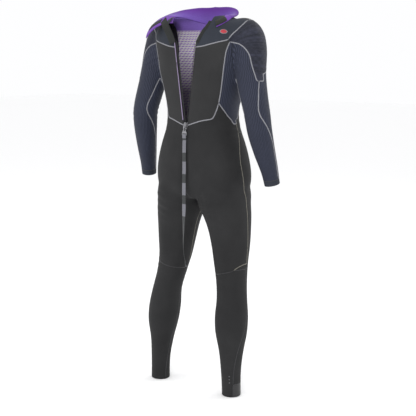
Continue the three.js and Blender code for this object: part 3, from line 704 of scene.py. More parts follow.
# %% Seam lines of the right half, in the drawing's millimetres
FAR = 400  # outlines reach this far past the suit
YOKE_SEAM = [(76, 1276), (116, 1286), (158, 1296)]
BACK_SIDE_SEAM = [(167, 1290), (154, 1249), (141, 1175), (119, 1076), (104, 1028), (97, 1018)]
WAIST_SEAM = [(97, 1018), (61, 1011), (18, 997), (-5, 990)]
RAGLAN_BACK = [(163, 1299), (175, 1320), (194, 1342), (204, 1372), (204, 1500)]
RAGLAN_FRONT = [(172, 1290), (182, 1320), (198, 1345), (204, 1372), (204, 1500)]
CAP_BACK = [(167, 1290), (206, 1279), (235, 1251), (250, 1207), (268, 1155)]
CAP_FRONT = [(172, 1290), (205, 1262), (240, 1225), (262, 1195), (290, 1158)]
ARMPIT_LINE = [(172, 1290), (170, 1200), (172, 1140), (177, 1100), (196, 1040), (205, 900)]
SLEEVE_SEAM = [(-22, 1155), (-33, 1111), (-42, 1043), (-11, 986), (14, 939), (20, 914), (52, 786)]
SIDE_FRONT_SEAM = [(28, 969), (50, 1040), (62, 1115), (66, 1200), (60, 1300)]
SIDE_LOW_SEAM = [(119, 1076), (131, 1043), (141, 1010), (153, 967)]
OUTER_LEG_SEAM = [(28, 969), (2, 893), (-2, 847), (7, 792), (28, 720), (24, 633), (27, 480)]
KNEE_BACK_SEAM = [(40, 432), (94, 446), (147, 459), (172, 467), (185, 480), (230, 520)]
CALF_OUTER_SEAM = [(27, 520), (10, 400), (-4, 311), (-40, 213), (-54, 142), (-60, 86), (-61, -5)]
CALF_INNER_SEAM = [(27, 520), (16, 400), (-8, 300), (-36, 123), (-46, 39), (-46, -5)]
KNEE_PAD = [(94, 430), (102, 404), (134, 394), (166, 404), (176, 430), (172, 520), (158, 545),
            (130, 552), (102, 545), (90, 520)]
TAPE_SHOWS = 9


def zip_edge(z):
    return math.tan(ZIP_OPEN) * (z - ZIP_FOOT)


V_OUTLINE = [(-5, 978), (6, 978), (TAPE_SHOWS, 996), (zip_edge(1272) + TAPE_SHOWS, 1272), (78, 1328),
             (96, 1352), (96, 1420), (-5, 1420)]

# %% [markdown]
# The next cell holds the pattern cutter's two tools: the distance to an outline, and the cut itself.


# %% Outline distance and the cut
def curve(line):
    """A seam line drawn as a smooth curve."""
    return [tuple(p) for p in smooth_line(line, 6)]


def back_to_front(line):
    return list(line)[::-1]


def outline_distance(u, v, outline):
    """Distance of each point to a closed outline, positive inside."""
    nearest = np.full(len(u), np.inf)
    inside = np.zeros(len(u), bool)
    corners = list(outline)
    for (ax, ay), (bx, by) in zip(corners, corners[1:] + corners[:1]):
        dx, dy = bx - ax, by - ay
        size = dx * dx + dy * dy
        if size < 1e-9:
            continue
        t = np.clip(((u - ax) * dx + (v - ay) * dy) / size, 0, 1)
        nearest = np.minimum(nearest, (u - ax - t * dx) ** 2 + (v - ay - t * dy) ** 2)
        if ay != by:
            crosses = ((ay > v) != (by > v)) & (u < (bx - ax) * (v - ay) / (by - ay) + ax)
            inside ^= crosses
    return np.where(inside, 1, -1) * np.sqrt(nearest)


def cut(points, normals, triangles, distance):
    """Splits triangles where distance is zero; returns the new points and both sets."""
    sign = distance[triangles] >= 0
    count = sign.sum(1)
    kept, rest = [triangles[count == 3]], [triangles[count == 0]]
    new_points, new_normals, seen = [], [], {}
    base = len(points)

    def crossing(a, b):
        key = (a, b) if a < b else (b, a)
        if key not in seen:
            i, j = key
            t = distance[i] / (distance[i] - distance[j])
            seen[key] = base + len(new_points)
            new_points.append(points[i] + t * (points[j] - points[i]))
            new_normals.append(normals[i] + t * (normals[j] - normals[i]))
        return seen[key]

    mixed = (count == 1) | (count == 2)
    inner, outer = [], []
    for tri, flags in zip(triangles[mixed].tolist(), sign[mixed].tolist()):
        odd = flags.index(True) if sum(flags) == 1 else flags.index(False)
        a, b, c = tri[odd], tri[(odd + 1) % 3], tri[(odd + 2) % 3]
        ab, ca = crossing(a, b), crossing(c, a)
        tip, wide = (inner, outer) if sum(flags) == 1 else (outer, inner)
        tip.append((a, ab, ca))
        wide.append((ab, b, c))
        wide.append((ab, c, ca))
    if new_points:
        points = np.vstack([points, new_points])
        normals = np.vstack([normals, unit(np.array(new_normals))])
        kept.append(np.array(inner))
        rest.append(np.array(outer))
    return points, normals, np.vstack(kept), np.vstack(rest)


print("cutting tools ready")

# %% [markdown]
# Each panel's region is a rule: an outline seen from behind (x and z) or from the side (y and z),
# perhaps limited in depth, and joined or crossed with another. The panels are cut in a fixed order, so
# an outline may run over cloth that an earlier panel has already taken.


# %% The panels' regions
def from_behind(p, outline, low=-FAR, high=FAR):
    d = outline_distance(p[:, 0], p[:, 2], outline)
    return np.minimum(d, np.minimum(p[:, 1] - low, high - p[:, 1]))


def from_side(p, outline, low, high):
    d = outline_distance(p[:, 1], p[:, 2], outline)
    return np.minimum(d, np.minimum(p[:, 0] - low, high - p[:, 0]))


def sleeve_region(p):
    return from_behind(p, [*curve(ARMPIT_LINE), (205, 600), (340, 600), (340, 1290)])


SLEEVE_INSIDE = 240  # low down, everything further out than this is sleeve


def past_wrist(p, before=0):
    return np.minimum((p - WRIST) @ WRIST_ALONG + before, p[:, 0] - SLEEVE_INSIDE)


def wrist_hem(p):
    return past_wrist(p, 20)


def shoulder_cap(p):
    behind = [*curve(CAP_BACK), (340, 1155), (340, 1500), *back_to_front(curve(RAGLAN_BACK))]
    ahead = [*curve(CAP_FRONT), (340, 1155), (340, 1500), *back_to_front(curve(RAGLAN_FRONT)[1:])]
    return np.maximum(from_behind(p, behind, -FAR, 0.5), from_behind(p, ahead, 0, FAR))


def yoke(p):
    return from_behind(p, [(30, 1271), *curve(YOKE_SEAM), *curve(RAGLAN_BACK), (30, 1500)], -FAR, 8)


def back_panel(p):
    outline = [*curve(WAIST_SEAM)[1:], (-5, 1340), (170, 1340), *curve(BACK_SIDE_SEAM)]
    return from_behind(p, outline, -FAR, 0)


def sleeve_front(p):
    ahead = [*curve(SLEEVE_SEAM), (52, 600), (FAR, 600), (FAR, 1320), (-22, 1320)]
    return np.minimum(sleeve_region(p), from_side(p, ahead, 100, FAR))


def side_panel(p):
    flank = [*curve(SIDE_LOW_SEAM), (172, 960), (210, 960), (210, 1330), (90, 1330), (90, 1076)]
    behind = [*curve(SIDE_FRONT_SEAM), (-FAR, 1300), (-FAR, 940), (20, 940)]
    body = np.minimum(from_behind(p, flank), from_side(p, behind, 60, 230))
    return np.maximum(body, sleeve_region(p))


def knee_pad(p):
    return from_behind(p, curve([*KNEE_PAD, KNEE_PAD[0]]), 0, FAR)


def thigh_back(p):
    top = [(-5, 1070), (116, 1070), *curve(SIDE_LOW_SEAM)]
    outline = [*top, (230, 960), *back_to_front(curve(KNEE_BACK_SEAM)), (-5, 430)]
    behind = [*curve(OUTER_LEG_SEAM), (27, 400), (-FAR, 400), (-FAR, 1500), (28, 1500)]
    return np.minimum(from_behind(p, outline), from_side(p, behind, -5, FAR))


def thigh_front(p):
    return from_behind(p, [(-5, 946), (152, 968), (260, 968), (260, 470), (-5, 470)], -60, FAR)


def ankle_patch(p):
    return from_side(p, [(-61, -20), (-61, 48), (-8, 48), (-8, -20)], 160, FAR)


def calf(p):
    outer = [*curve(CALF_OUTER_SEAM), (-61, -20), (-FAR, -20), (-FAR, 520)]
    inner = [*curve(CALF_INNER_SEAM), (-46, -20), (-FAR, -20), (-FAR, 520)]
    return np.maximum(from_side(p, outer, 155, FAR), from_side(p, inner, -1, 155))


def shin(p):
    return 470 - p[:, 2]


REGIONS = [wrist_hem, shoulder_cap, yoke, back_panel, sleeve_front, side_panel, thigh_back, knee_pad,
           thigh_front, ankle_patch, calf, shin]
print("regions:", [region.__name__ for region in REGIONS])

# %% [markdown]
# The openings come first: the neck, the V of the zip, the wrists and the ankles. Then the panels are
# cut one after another from what is left of each half. What remains at the end is the chest above
# 1120 mm and the belly below it, and their two halves join on the middle line.

# %% Cut the panels
CHEST_LINE = 1120
NECK_ACROSS, NECK_DEEP, NECK_Y = 116, 88, 6  # half sizes and middle of the neck hole


def mirrored(p, side):
    return p * (side, 1, 1)


def remove(points, normals, triangles, distance):
    points, normals, _, rest = cut(points, normals, triangles, distance)
    return points, normals, rest


points, normals, triangles = remove(points, normals, triangles, -points[:, 2])
neck = 1 - np.hypot(points[:, 0] / NECK_ACROSS, (points[:, 1] - NECK_Y) / NECK_DEEP)
above = (points[:, 2] - 1300) / 100
points, normals, triangles = remove(points, normals, triangles, np.minimum(neck, above))
points, normals, right, left = cut(points, normals, triangles, points[:, 0] + 1e-4)

NEAR_SEAM = 0.6  # mm; a point that an earlier cut left this close to the line stays in the panel
skin_points = len(points)


def region_distance(region, side):
    distance = region(mirrored(points, side))
    on_seam = (np.arange(len(points)) >= skin_points) & (np.abs(distance) < NEAR_SEAM)
    distance[on_seam] = NEAR_SEAM
    return distance


panels = {}
for side, word, half in ((1, "right", right), (-1, "left", left)):
    points, normals, half = remove(points, normals, half, past_wrist(mirrored(points, side)))
    v_cut = from_behind(mirrored(points, side), V_OUTLINE, -FAR, -40)
    points, normals, half = remove(points, normals, half, v_cut)
    for region in REGIONS:
        distance = region_distance(region, side)
        points, normals, panel, half = cut(points, normals, half, distance)
        panels[f"{region.__name__}_{word}"] = panel
    points, normals, chest, belly = cut(points, normals, half, points[:, 2] - CHEST_LINE)
    panels[f"chest_{word}"] = chest
    panels[f"belly_{word}"] = belly
panels["chest_panel"] = np.vstack([panels.pop("chest_right"), panels.pop("chest_left")])
panels["belly_panel"] = np.vstack([panels.pop("belly_right"), panels.pop("belly_left")])
for name, tris in panels.items():
    print(name, len(tris), "triangles")

# %% [markdown]
# Each panel becomes a real sheet: its outer face, an inner face 4 mm behind it, and a cut edge all round.
# The outer edge dips a little, as neoprene does where it is glued. The zip's halves close towards the
# middle; the panels beside the V stay where they are cut, with no body of their own.

# %% Sheets from the cut panels
NEOPRENE = 4  # mm
EDGE_DIP = 0.7
FACING = {
    "wrist_hem": YOKE_JERSEY, "shoulder_cap": CAP_RIB, "yoke": YOKE_JERSEY, "back_panel": BACK_JERSEY,
    "sleeve_front": SLATE_RIB, "side_panel": SLATE_RIB, "knee_pad": GRIP_RUBBER,
    "ankle_patch": GRIP_RUBBER,
}
BESIDE_ZIP = ("yoke", "back_panel", "side_panel")
arm = sleeve_line()
arm_length = length_along(arm[:, :3])
arm_travel = unit(np.gradient(arm[:, :3], axis=0))


def to_frame(p):
    return (p + (0, OFFSET_Y, 0)) * MM


def cloth_lay(p, on_arm):
    """Metres across and along the cloth: round and down an arm, or round and up the body."""
    q = np.abs(p[:, :1]) * (1, 0, 0) + p * (0, 1, 1)
    body = np.column_stack([q[:, 1] + 0.25 * q[:, 0], q[:, 2]])
    if not on_arm.any():
        return body * MM
    nearest = np.array([((arm[:, :3] - point) ** 2).sum(1).argmin() for point in q[on_arm]])
    away = q[on_arm] - arm[nearest, :3]
    across = unit(np.cross((0, 1, 0), arm_travel[nearest]))
    angle = np.arctan2(away[:, 1], (away * across).sum(1))
    body[on_arm] = np.column_stack([angle * 48, arm_length[nearest]])
    return body * MM


def open_edges(triangles):
    edges = np.vstack([triangles[:, [0, 1]], triangles[:, [1, 2]], triangles[:, [2, 0]]])
    both = np.sort(edges, axis=1)
    _, first, count = np.unique(both, axis=0, return_index=True, return_counts=True)
    return edges[first[count == 1]]


def follow_zip(piece):
    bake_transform(piece)


def sheet_panel(name, triangles):
    kind, _, word = name.rpartition("_")
    used, local = np.unique(triangles, return_inverse=True)
    local = local.reshape(-1, 3)
    outer, normal = points[used].copy(), normals[used]
    rim = open_edges(local)
    outer[np.unique(rim)] -= normal[np.unique(rim)] * EDGE_DIP
    inner = points[used] - normal * NEOPRENE
    n = len(used)
    faces = [*local.tolist(), *(local[:, ::-1] + n).tolist()]
    faces += [(b, a, a + n, b + n) for a, b in rim.tolist()]
    shown = [0] * len(local) + [1] * (len(local) + len(rim))
    on_arm = np.zeros(n, bool)
    if kind in ("sleeve_front", "shoulder_cap", "wrist_hem", "side_panel"):
        on_arm = sleeve_region(mirrored(points[used], 1 if word == "right" else -1)) > 0
        on_arm |= kind in ("shoulder_cap", "wrist_hem")
    lay = np.tile(cloth_lay(points[used], on_arm), (2, 1))
    sharp = [*rim.tolist(), *(rim + n).tolist()]
    finishes = [FACING.get(kind, BLACK_JERSEY), INSIDE]
    both_faces = to_frame(np.vstack([outer, inner]))
    piece = cloth_piece(f"{name}_sheet", both_faces, faces, lay, finishes, shown, sharp)
    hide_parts(name)
    if kind in BESIDE_ZIP:
        follow_zip(piece)
    else:
        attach(piece, "suit")
    return piece


sheets = {name: sheet_panel(name, triangles) for name, triangles in panels.items()}
print("sheets:", len(sheets), "points:", sum(len(s.data.vertices) for s in sheets.values()))

# %% [markdown]
# The seams are what draws this suit. Where two panels share an edge, the glued joint is sewn over
# with a narrow raised thread line: pale grey across the back and arms, olive on the legs, and dark
# where the cloth changes without a contrast. The shared edges are already in the mesh, so each seam
# is found by asking which two panels own an edge, then joined into a line and swept as a low bead.

# %% Find the seams
PALE = {frozenset(pair) for pair in [
    ("yoke", "back_panel"), ("back_panel", "side_panel"), ("back_panel", "thigh_back"),
    ("side_panel", "thigh_back"), ("shoulder_cap", "side_panel"), ("shoulder_cap", "sleeve_front"),
    ("shoulder_cap", "yoke"), ("sleeve_front", "side_panel"), ("yoke", "side_panel"),
    ("shoulder_cap", "chest_panel"), ("side_panel", "belly_panel"), ("side_panel", "chest_panel"),
    ("back_panel", "shoulder_cap"),
]}
OLIVE = {frozenset(pair) for pair in [
    ("thigh_back", "belly_panel"), ("thigh_back", "thigh_front"),
]}


def kind_of(name):
    return name if name.endswith("_panel") else name.rpartition("_")[0]


def shared_edges():
    owners = {}
    for name, tris in panels.items():
        for a, b in open_edges(tris).tolist():
            owners.setdefault((min(a, b), max(a, b)), []).append(name)
    seams = {}
    for edge, names in owners.items():
        if len(names) == 2:
            seams.setdefault(tuple(sorted(names)), []).append(edge)
    return seams


def joined_lines(edges):
    """Edges joined end to end into lines of point numbers."""
    beside = {}
    for a, b in edges:
        beside.setdefault(a, []).append(b)
        beside.setdefault(b, []).append(a)
    lines = []
    starts = [p for p in beside if len(beside[p]) == 1] + list(beside)
    for start in starts:
        while beside[start]:
            line = [start]
            while beside[line[-1]]:
                here = line[-1]
                there = beside[here].pop()
                beside[there].remove(here)
                line.append(there)
            lines.append(line)
    return lines


def even_line(line, spacing):
    """Smoothed places and outward directions at even spacing along a line of point numbers."""
    p, n = points[line].copy(), normals[line].copy()
    for _ in range(6):
        p[1:-1] = 0.5 * p[1:-1] + 0.25 * (p[:-2] + p[2:])
        n[1:-1] = 0.5 * n[1:-1] + 0.25 * (n[:-2] + n[2:])
    length = length_along(p)
    if length[-1] < 3 * spacing:
        return None
    at = np.linspace(0, length[-1], int(length[-1] / spacing) + 1)
    p = np.column_stack([np.interp(at, length, c) for c in p.T])
    n = unit(np.column_stack([np.interp(at, length, c) for c in n.T]))
    return p, n, at


seam_edges = shared_edges()
print("seams found:", len(seam_edges))

# %% Sweep the seams
BEAD_SPACING = 4
BEAD = {"pale": (4.6, 1.1), "olive": (3.4, 0.8), "dark": (3.0, 0.6)}  # width and height, mm
THREAD = {"pale": PALE_THREAD, "olive": OLIVE_THREAD, "dark": DARK_THREAD}
SECTION = [(-1, -0.9), (-0.85, 0.25), (-0.45, 0.8), (0, 1), (0.45, 0.8), (0.85, 0.25), (1, -0.9)]


def bead_mesh(lines, width, height):
    bead_points, faces, lay = [], [], []
    for p, n, at in lines:
        travel = unit(np.gradient(p, axis=0))
        across = unit(np.cross(travel, n))
        taper = np.clip(np.minimum(at, at[-1] - at) / 5, 0.35, 1)[:, None]
        base = len(bead_points)
        size = len(SECTION)
        rings = [p + across * (u * width / 2) * taper + n * (v * height * taper - 0.25)
                 for u, v in SECTION]
        bead_points.extend(np.stack(rings, 1).reshape(-1, 3))
        lay.extend((u * width / 2, length) for length in at for u, _ in SECTION)
        for r in range(len(at) - 1):
            for i in range(size):
                j = (i + 1) % size
                low, high = base + r * size, base + (r + 1) * size
                faces.append((low + i, high + i, high + j, low + j))
        faces.append(tuple(base + i for i in range(size)))
        last = base + (len(at) - 1) * size
        faces.append(tuple(last + i for i in range(size))[::-1])
    return np.array(bead_points), faces, np.array(lay) * MM


def seam_colour(pair):
    kinds = frozenset(kind_of(name) for name in pair)
    return "pale" if kinds in PALE else "olive" if kinds in OLIVE else "dark"


for pair, edges in seam_edges.items():
    lines = [even_line(line, BEAD_SPACING) for line in joined_lines(edges)]
    lines = [line for line in lines if line is not None]
    if not lines:
        continue
    colour = seam_colour(pair)
    bead_points, faces, lay = bead_mesh(lines, *BEAD[colour])
    seam = cloth_piece(f"seam_{pair[0]}_{pair[1]}", to_frame(bead_points), faces, lay, [THREAD[colour]])
    word = "right" if "right" in "".join(pair) else "left"
    if all(kind_of(name) in BESIDE_ZIP for name in pair):
        follow_zip(seam)
    else:
        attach(seam, "suit")

# %% [markdown]
# The inside shows through the open back. The chest has a pale thermal pile with slanted purple
# dashes; above it, up to the neck, the lining is brushed purple. Both lie against the inside of the
# front panels, so they are cut from the same skin, set in by the sheet's thickness.

# %% Linings inside the front
PILE_FOOT, PILE_TOP = 1008, 1338
LINING_INSET = NEOPRENE + 0.6
LINING_THICK = 1.2


def lining_piece(name, chosen, finish):
    used, local = np.unique(chosen, return_inverse=True)
    local = local.reshape(-1, 3)
    face = points[used] - normals[used] * (LINING_INSET + LINING_THICK)
    back = points[used] - normals[used] * LINING_INSET
    rim = open_edges(local)
    n = len(used)
    faces = [*local[:, ::-1].tolist(), *(local + n).tolist()]
    faces += [(a, b, b + n, a + n) for a, b in rim.tolist()]
    lay = np.tile(points[used][:, [0, 2]] * MM, (2, 1))
    return cloth_piece(name, to_frame(np.vstack([face, back])), faces, lay, [finish])


LINED_X, LINED_BACK = 168, -38  # the lining stops before the sleeves and the back panels
inside = np.vstack([right, left])
lined = np.minimum(points[:, 1] - LINED_BACK, LINED_X - np.abs(points[:, 0]))
points, normals, inside, _ = cut(points, normals, inside, lined)
points, normals, inside, _ = cut(points, normals, inside, points[:, 2] - PILE_FOOT)
points, normals, upper, lower = cut(points, normals, inside, points[:, 2] - PILE_TOP)
chest_pile = lining_piece("chest_pile_lining", lower, CHEST_PILE)
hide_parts("chest_lining")
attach(chest_pile, "suit")
neck_lining = lining_piece("neck_lining", upper, PURPLE)
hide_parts("collar_lining")
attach(neck_lining, "suit")
print("pile:", len(lower), "neck lining:", len(upper), "triangles")

# %% [markdown]
# The collar is one band sewn round the neck hole. In front it stands up; towards the open back it leans
# over until its ends lie on the shoulders with the purple lining showing. One rule gives it: each
# cross-section starts on the neck seam, and its lean grows from upright to folded out. The two ends are
# pieces of their own, made by the same rule and left without a body.

# %% Collar
COLLAR_END = 0.56  # radians past the shoulder, where the V cuts the neck seam
COLLAR_THICK = 3.6


def neck_seam(turn):
    """The neck hole's edge; turn 0 is the right shoulder and a quarter turn is the front."""
    x = (NECK_ACROSS - 3) * np.cos(turn)
    y = NECK_Y + (NECK_DEEP - 3) * np.sin(turn)
    z = 1352 + 31 * np.abs(np.cos(turn)) ** 1.6 - 14 * np.clip(-y / 45, 0, 1)
    return np.stack([x, y, z], -1)


# How far past the shoulder (radians), lean from upright (degrees), height (mm), turn to the back.
RIGHT_COLLAR = np.array([
    (-1.6, 2, 69, 0), (-1.1, 8, 58, 0), (-0.6, 44, 41, 0), (-0.3, 82, 32, 0.1), (0, 102, 35, 0.2),
    (0.3, 114, 46, 0.35), (0.7, 118, 54, 0.5),
])
LEFT_COLLAR = np.array([
    (-1.6, 2, 69, 0), (-1.1, 8, 58, 0), (-0.6, 40, 49, 0), (-0.3, 69, 54, 0.1), (0, 96, 71, 0.3),
    (0.3, 111, 102, 0.25), (0.7, 120, 122, 0.12),
])


def collar_sheet(turns, rows, shares=(0, 1), lift=0.0):
    """Middle surface of the collar: rows run from the neck seam to the free edge."""
    right_side = turns < 0.5 * np.pi
    past = np.where(right_side, -turns, turns - np.pi)
    both = [chart_at(chart, past) for chart in (RIGHT_COLLAR, LEFT_COLLAR)]
    lean, height, back = (np.where(right_side, r, l) for r, l in zip(*both))
    out = unit(np.stack([np.cos(turns), np.sin(turns) - back, 0 * turns], -1))
    up = np.array([0, 0, 1.0])
    p = neck_seam(turns)
    fine = 40
    steps = [p]
    for k in range(fine):
        angle = np.radians(lean * (0.72 + 0.56 * (k + 0.5) / fine))[:, None]
        p = p + (out * np.sin(angle) + up * np.cos(angle)) * (height / fine)[:, None]
        steps.append(p)
    middle = np.stack(steps, 1)
    chosen = np.round(np.linspace(shares[0], shares[1], rows) * fine).astype(int)
    normal = unit(np.cross(unit(np.gradient(middle, axis=0)), unit(np.gradient(middle, axis=1))))
    return (middle - normal * lift)[:, chosen]


def thick_sheet(name, middle, thickness, faces_finish, round_edge=True):
    """A grid of middle points made into a sheet with a soft rounded edge."""
    along = unit(np.gradient(middle, axis=0))
    up = unit(np.gradient(middle, axis=1))
    normal = unit(np.cross(along, up))
    rows, cols = middle.shape[:2]
    taper = np.ones((rows, cols))
    if round_edge:
        taper[0] = taper[-1] = taper[:, 0] = taper[:, -1] = 0.45
    half = normal * (thickness / 2) * taper[..., None]
    verts = np.vstack([(middle + half).reshape(-1, 3), (middle - half).reshape(-1, 3)])
    n = rows * cols
    faces, shown = [], []
    for r in range(rows - 1):
        for c in range(cols - 1):
            a, b, d, e = r * cols + c, r * cols + c + 1, (r + 1) * cols + c + 1, (r + 1) * cols + c
            faces += [(a, e, d, b), (a + n, b + n, d + n, e + n)]
            shown += [0, 1]
    ring = [*range(cols), *(r * cols + cols - 1 for r in range(1, rows))]
    ring += [(rows - 1) * cols + c for c in range(cols - 2, -1, -1)]
    ring += [r * cols for r in range(rows - 2, 0, -1)]
    for a, b in zip(ring, ring[1:] + ring[:1]):
        faces.append((a, b, b + n, a + n))
        shown.append(1)
    u = np.concatenate([[0], np.cumsum(np.linalg.norm(np.diff(middle[:, cols // 2], axis=0), axis=1))])
    v = np.concatenate([[0], np.cumsum(np.linalg.norm(np.diff(middle[rows // 2], axis=0), axis=1))])
    lay = np.stack(np.meshgrid(u, v, indexing="ij"), -1).reshape(-1, 2) * MM
    return cloth_piece(name, to_frame(verts), faces, np.tile(lay, (2, 1)), faces_finish, shown)


SPLIT = 0.06  # the folded ends start this far past the shoulder
front_turns = np.linspace(-SPLIT, np.pi + SPLIT, 90)
front_middle = collar_sheet(front_turns, 14)
collar_finishes = [YOKE_JERSEY, PURPLE_COLLAR]
collar_front = thick_sheet("collar_standing", front_middle, COLLAR_THICK, collar_finishes, False)
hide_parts("collar_front")
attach(collar_front, "suit")

for word, side, turns_here in (
    ("right", 1, np.linspace(-COLLAR_END, -SPLIT, 26)),
    ("left", -1, np.linspace(np.pi + SPLIT, np.pi + COLLAR_END + 0.1, 28)),
):
    end_middle = collar_sheet(turns_here, 20)
    piece = thick_sheet(f"collar_end_{word}_folded", end_middle, COLLAR_THICK,
                        [HOOK_AND_LOOP, PURPLE_FOLD])
    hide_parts(f"collar_end_{word}")
    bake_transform(piece)
    print(piece.name, "free edge, mm:", end_middle[0, -1].round(), end_middle[-1, -1].round())

# %% [markdown]
# The collar closes with hook and loop: a black tab is folded back on the right end, and a patch for
# it is sewn on the left one. Both follow the collar's curve, a little above it, so they are made from
# the same rule with a lift.

# %% Hook tab and loop patch
TAB_TURNS = np.linspace(-0.57, -0.24, 16)
tab_middle = collar_sheet(TAB_TURNS, 14, (0.05, 0.95), 3.4)
hook_tab = thick_sheet("hook_tab", tab_middle, 1.8, [HOOK_AND_LOOP, HOOK_AND_LOOP])
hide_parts("collar_tab")
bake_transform(hook_tab)

PATCH_TURNS = np.linspace(np.pi + 0.30, np.pi + 0.52, 14)
patch_middle = collar_sheet(PATCH_TURNS, 16, (0.4, 0.85), 2.6)
loop_patch = thick_sheet("loop_patch_sewn", patch_middle, 1.4, [HOOK_AND_LOOP, HOOK_AND_LOOP])
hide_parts("loop_patch")
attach(loop_patch, "collar_fold_left")
print("tab root, mm:", tab_middle[1].mean(0).round())

# %% [markdown]
# Each half of the zip is a woven tape with moulded teeth along its edge. The tape is a swept band.
# One tooth is a small rounded block, repeated up the tape by a loop; the teeth of the two
# halves stand half a pitch apart, so that they would mesh when the slider draws them together.

# %% Zip tapes and teeth
ZIP_LENGTH = 292
TOOTH_PITCH = 5
TAPE_WIDTH = 14
TAPE_OFF = 3.6  # from the zip's edge to the tape
ZIP_Y = -86


def zip_point(along, off, depth):
    """A place on the right half: up along the open zip, off its edge, at a depth."""
    c, s = math.cos(ZIP_OPEN), math.sin(ZIP_OPEN)
    return (off * c + along * s, ZIP_Y + depth, ZIP_FOOT - off * s + along * c)


def tooth_row(name, side, first):
    bm = bmesh.new()
    count = int((ZIP_LENGTH - 12 - first) / TOOTH_PITCH)
    for k in range(count):
        low = 8 + first + k * TOOTH_PITCH
        corners = []
        for depth in (-1.6, 1.6):
            for along, off in ((0.35, 0.3), (2.35, 0.3), (2.9, 3.4), (-0.2, 3.4)):
                x, y, z = zip_point(low + along, off, 0.9 + depth)
                corners.append(bm.verts.new(place(side * x, y, z)))
        a, b, c, d, e, f, g, h = corners
        for face in ((d, c, b, a), (e, f, g, h), (a, b, f, e), (b, c, g, f), (c, d, h, g), (d, a, e, h)):
            bm.faces.new(face)
    bmesh.ops.bevel(bm, geom=bm.edges[:], offset=0.3 * MM, segments=2, affect="EDGES")
    bmesh.ops.recalc_face_normals(bm, faces=bm.faces)
    mesh = bpy.data.meshes.new(name)
    bm.to_mesh(mesh)
    bm.free()
    mesh.materials.append(ZIP_TEETH)
    row = bpy.data.objects.new(name, mesh)
    bpy.context.scene.collection.objects.link(row)
    return row


for word, side, first in (("right", 1, 0), ("left", -1, TOOTH_PITCH / 2)):
    alongs = np.linspace(5, ZIP_LENGTH + 4, 60)
    middles = [zip_point(a, TAPE_OFF + TAPE_WIDTH / 2, 3.4) for a in alongs]
    line = np.array([place(side * x, y, z) for x, y, z in middles])
    across = np.tile([side * math.cos(ZIP_OPEN), 0, -math.sin(ZIP_OPEN)], (len(line), 1))
    tape = swept_band(f"zip_tape_{word}_woven", line, across, TAPE_WIDTH * MM, 1.2 * MM, ZIP_TAPE)
    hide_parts(f"zip_tape_{word}")
    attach(tape, f"zip_half_{word}")
    row = tooth_row(f"zip_teeth_{word}_row", side, first)
    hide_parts(f"zip_teeth_{word}")
    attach(row, f"zip_half_{word}")
print("tape length, mm:", round(ZIP_LENGTH - 1))

# %% [markdown]
# A lilac piping is sewn along the left edge of the opening, as a thin cord pressed to it. A black
# facing is turned out beside the V's top on the left half. A narrower one lies along the V on the
# right half, where it follows the yoke panel's own edge.

# %% Piping and facings beside the zip
PIPING = 3.0
LEFT_FACING, RIGHT_FACING, FACING_THICK = 31, 13, 2.4  # widths, and the thickness of both
FACING_FROM, FACING_TO = 1293, 1368  # heights of the right facing's ends
edge_points = [zip_point(a, 10.5, -3.0) for a in np.linspace(14, ZIP_LENGTH + 2, 40)]
piping_line = smooth_line([place(-x, y, z) for x, y, z in edge_points], 2)
piping = swept_band("left_edge_piping", piping_line, np.tile([1.0, 0, 0], (len(piping_line), 1)),
                    PIPING * MM, PIPING * 0.8 * MM, LILAC_PIPING)
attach(piping, "zip_half_left")

guard_route = [(-54, -93.2, 1286), (-68, -94.5, 1318), (-88, -93, 1350), (-106, -82, 1370)]
guard_line = smooth_line([place(*p) for p in guard_route], 12)
guard_side = np.tile([0.9, -0.08, 0.42], (len(guard_line), 1))
guard = swept_band("left_facing", guard_line, guard_side, LEFT_FACING * MM, FACING_THICK * MM,
                   HOOK_AND_LOOP, 16)
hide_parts("zip_guard_left")
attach(guard, "zip_half_left")
yoke_points = points[np.unique(panels["yoke_right"])]
yoke_points = yoke_points[yoke_points[:, 1] < -20]
v_edge = []
for height in np.linspace(FACING_FROM, FACING_TO, 11):
    level = yoke_points[np.abs(yoke_points[:, 2] - height) < 5]
    if len(level):
        v_edge.append(level[level[:, 0].argmin()])
v_edge = np.array(v_edge)
v_edge[1:-1] = (v_edge[:-2] + 2 * v_edge[1:-1] + v_edge[2:]) / 4
facing_line = smooth_line([place(x - 2.5, y - 0.6, z) for x, y, z in v_edge], 4)
facing_side = np.tile([0.86, 0.12, -0.42], (len(facing_line), 1))
right_facing = swept_band("right_facing", facing_line, facing_side, RIGHT_FACING * MM,
                          FACING_THICK * MM, HOOK_AND_LOOP, 16)
follow_zip(right_facing)
print("V edge from", v_edge[0].round(), "to", v_edge[-1].round())
print("piping length, m:", round(float(length_along(piping_line)[-1]), 3))

# %% [markdown]
# The slider, its pull and the bottom stop keep the frame's own shapes, which are right. A small
# bevel rounds their cast edges, and the metal finish takes the place of the plain one.

# %% Slider, pull and stop
for node, edge in (("zip_slider", 0.25), ("pull_tab", 0.2), ("zip_bottom_stop", 0.8)):
    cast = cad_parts[node]
    cast.data.materials.clear()
    cast.data.materials.append(SLIDER_METAL)
    rounding = cast.modifiers.new("cast_edges", "BEVEL")
    rounding.width = edge * MM
    rounding.segments = 3
    rounding.limit_method = "ANGLE"
    rounding.angle_limit = math.radians(35)

# %% [markdown]
# Printed marks lie on the cloth: a plain oval badge on the right shoulder, and three dots low on the
# right calf. Each is drawn flat, then every point is carried to the nearest place of the panel and
# lifted by the thickness of the print.

# %% Printed marks
BADGE_MIDDLE, BADGE_HALF = (152, -68, 1329), (11, 5, 7.5)
DOT_X, DOT_RADIUS = 184, 1.9
DOTS = ((79, -72), (67, -72), (55, -71))  # height and depth of each dot


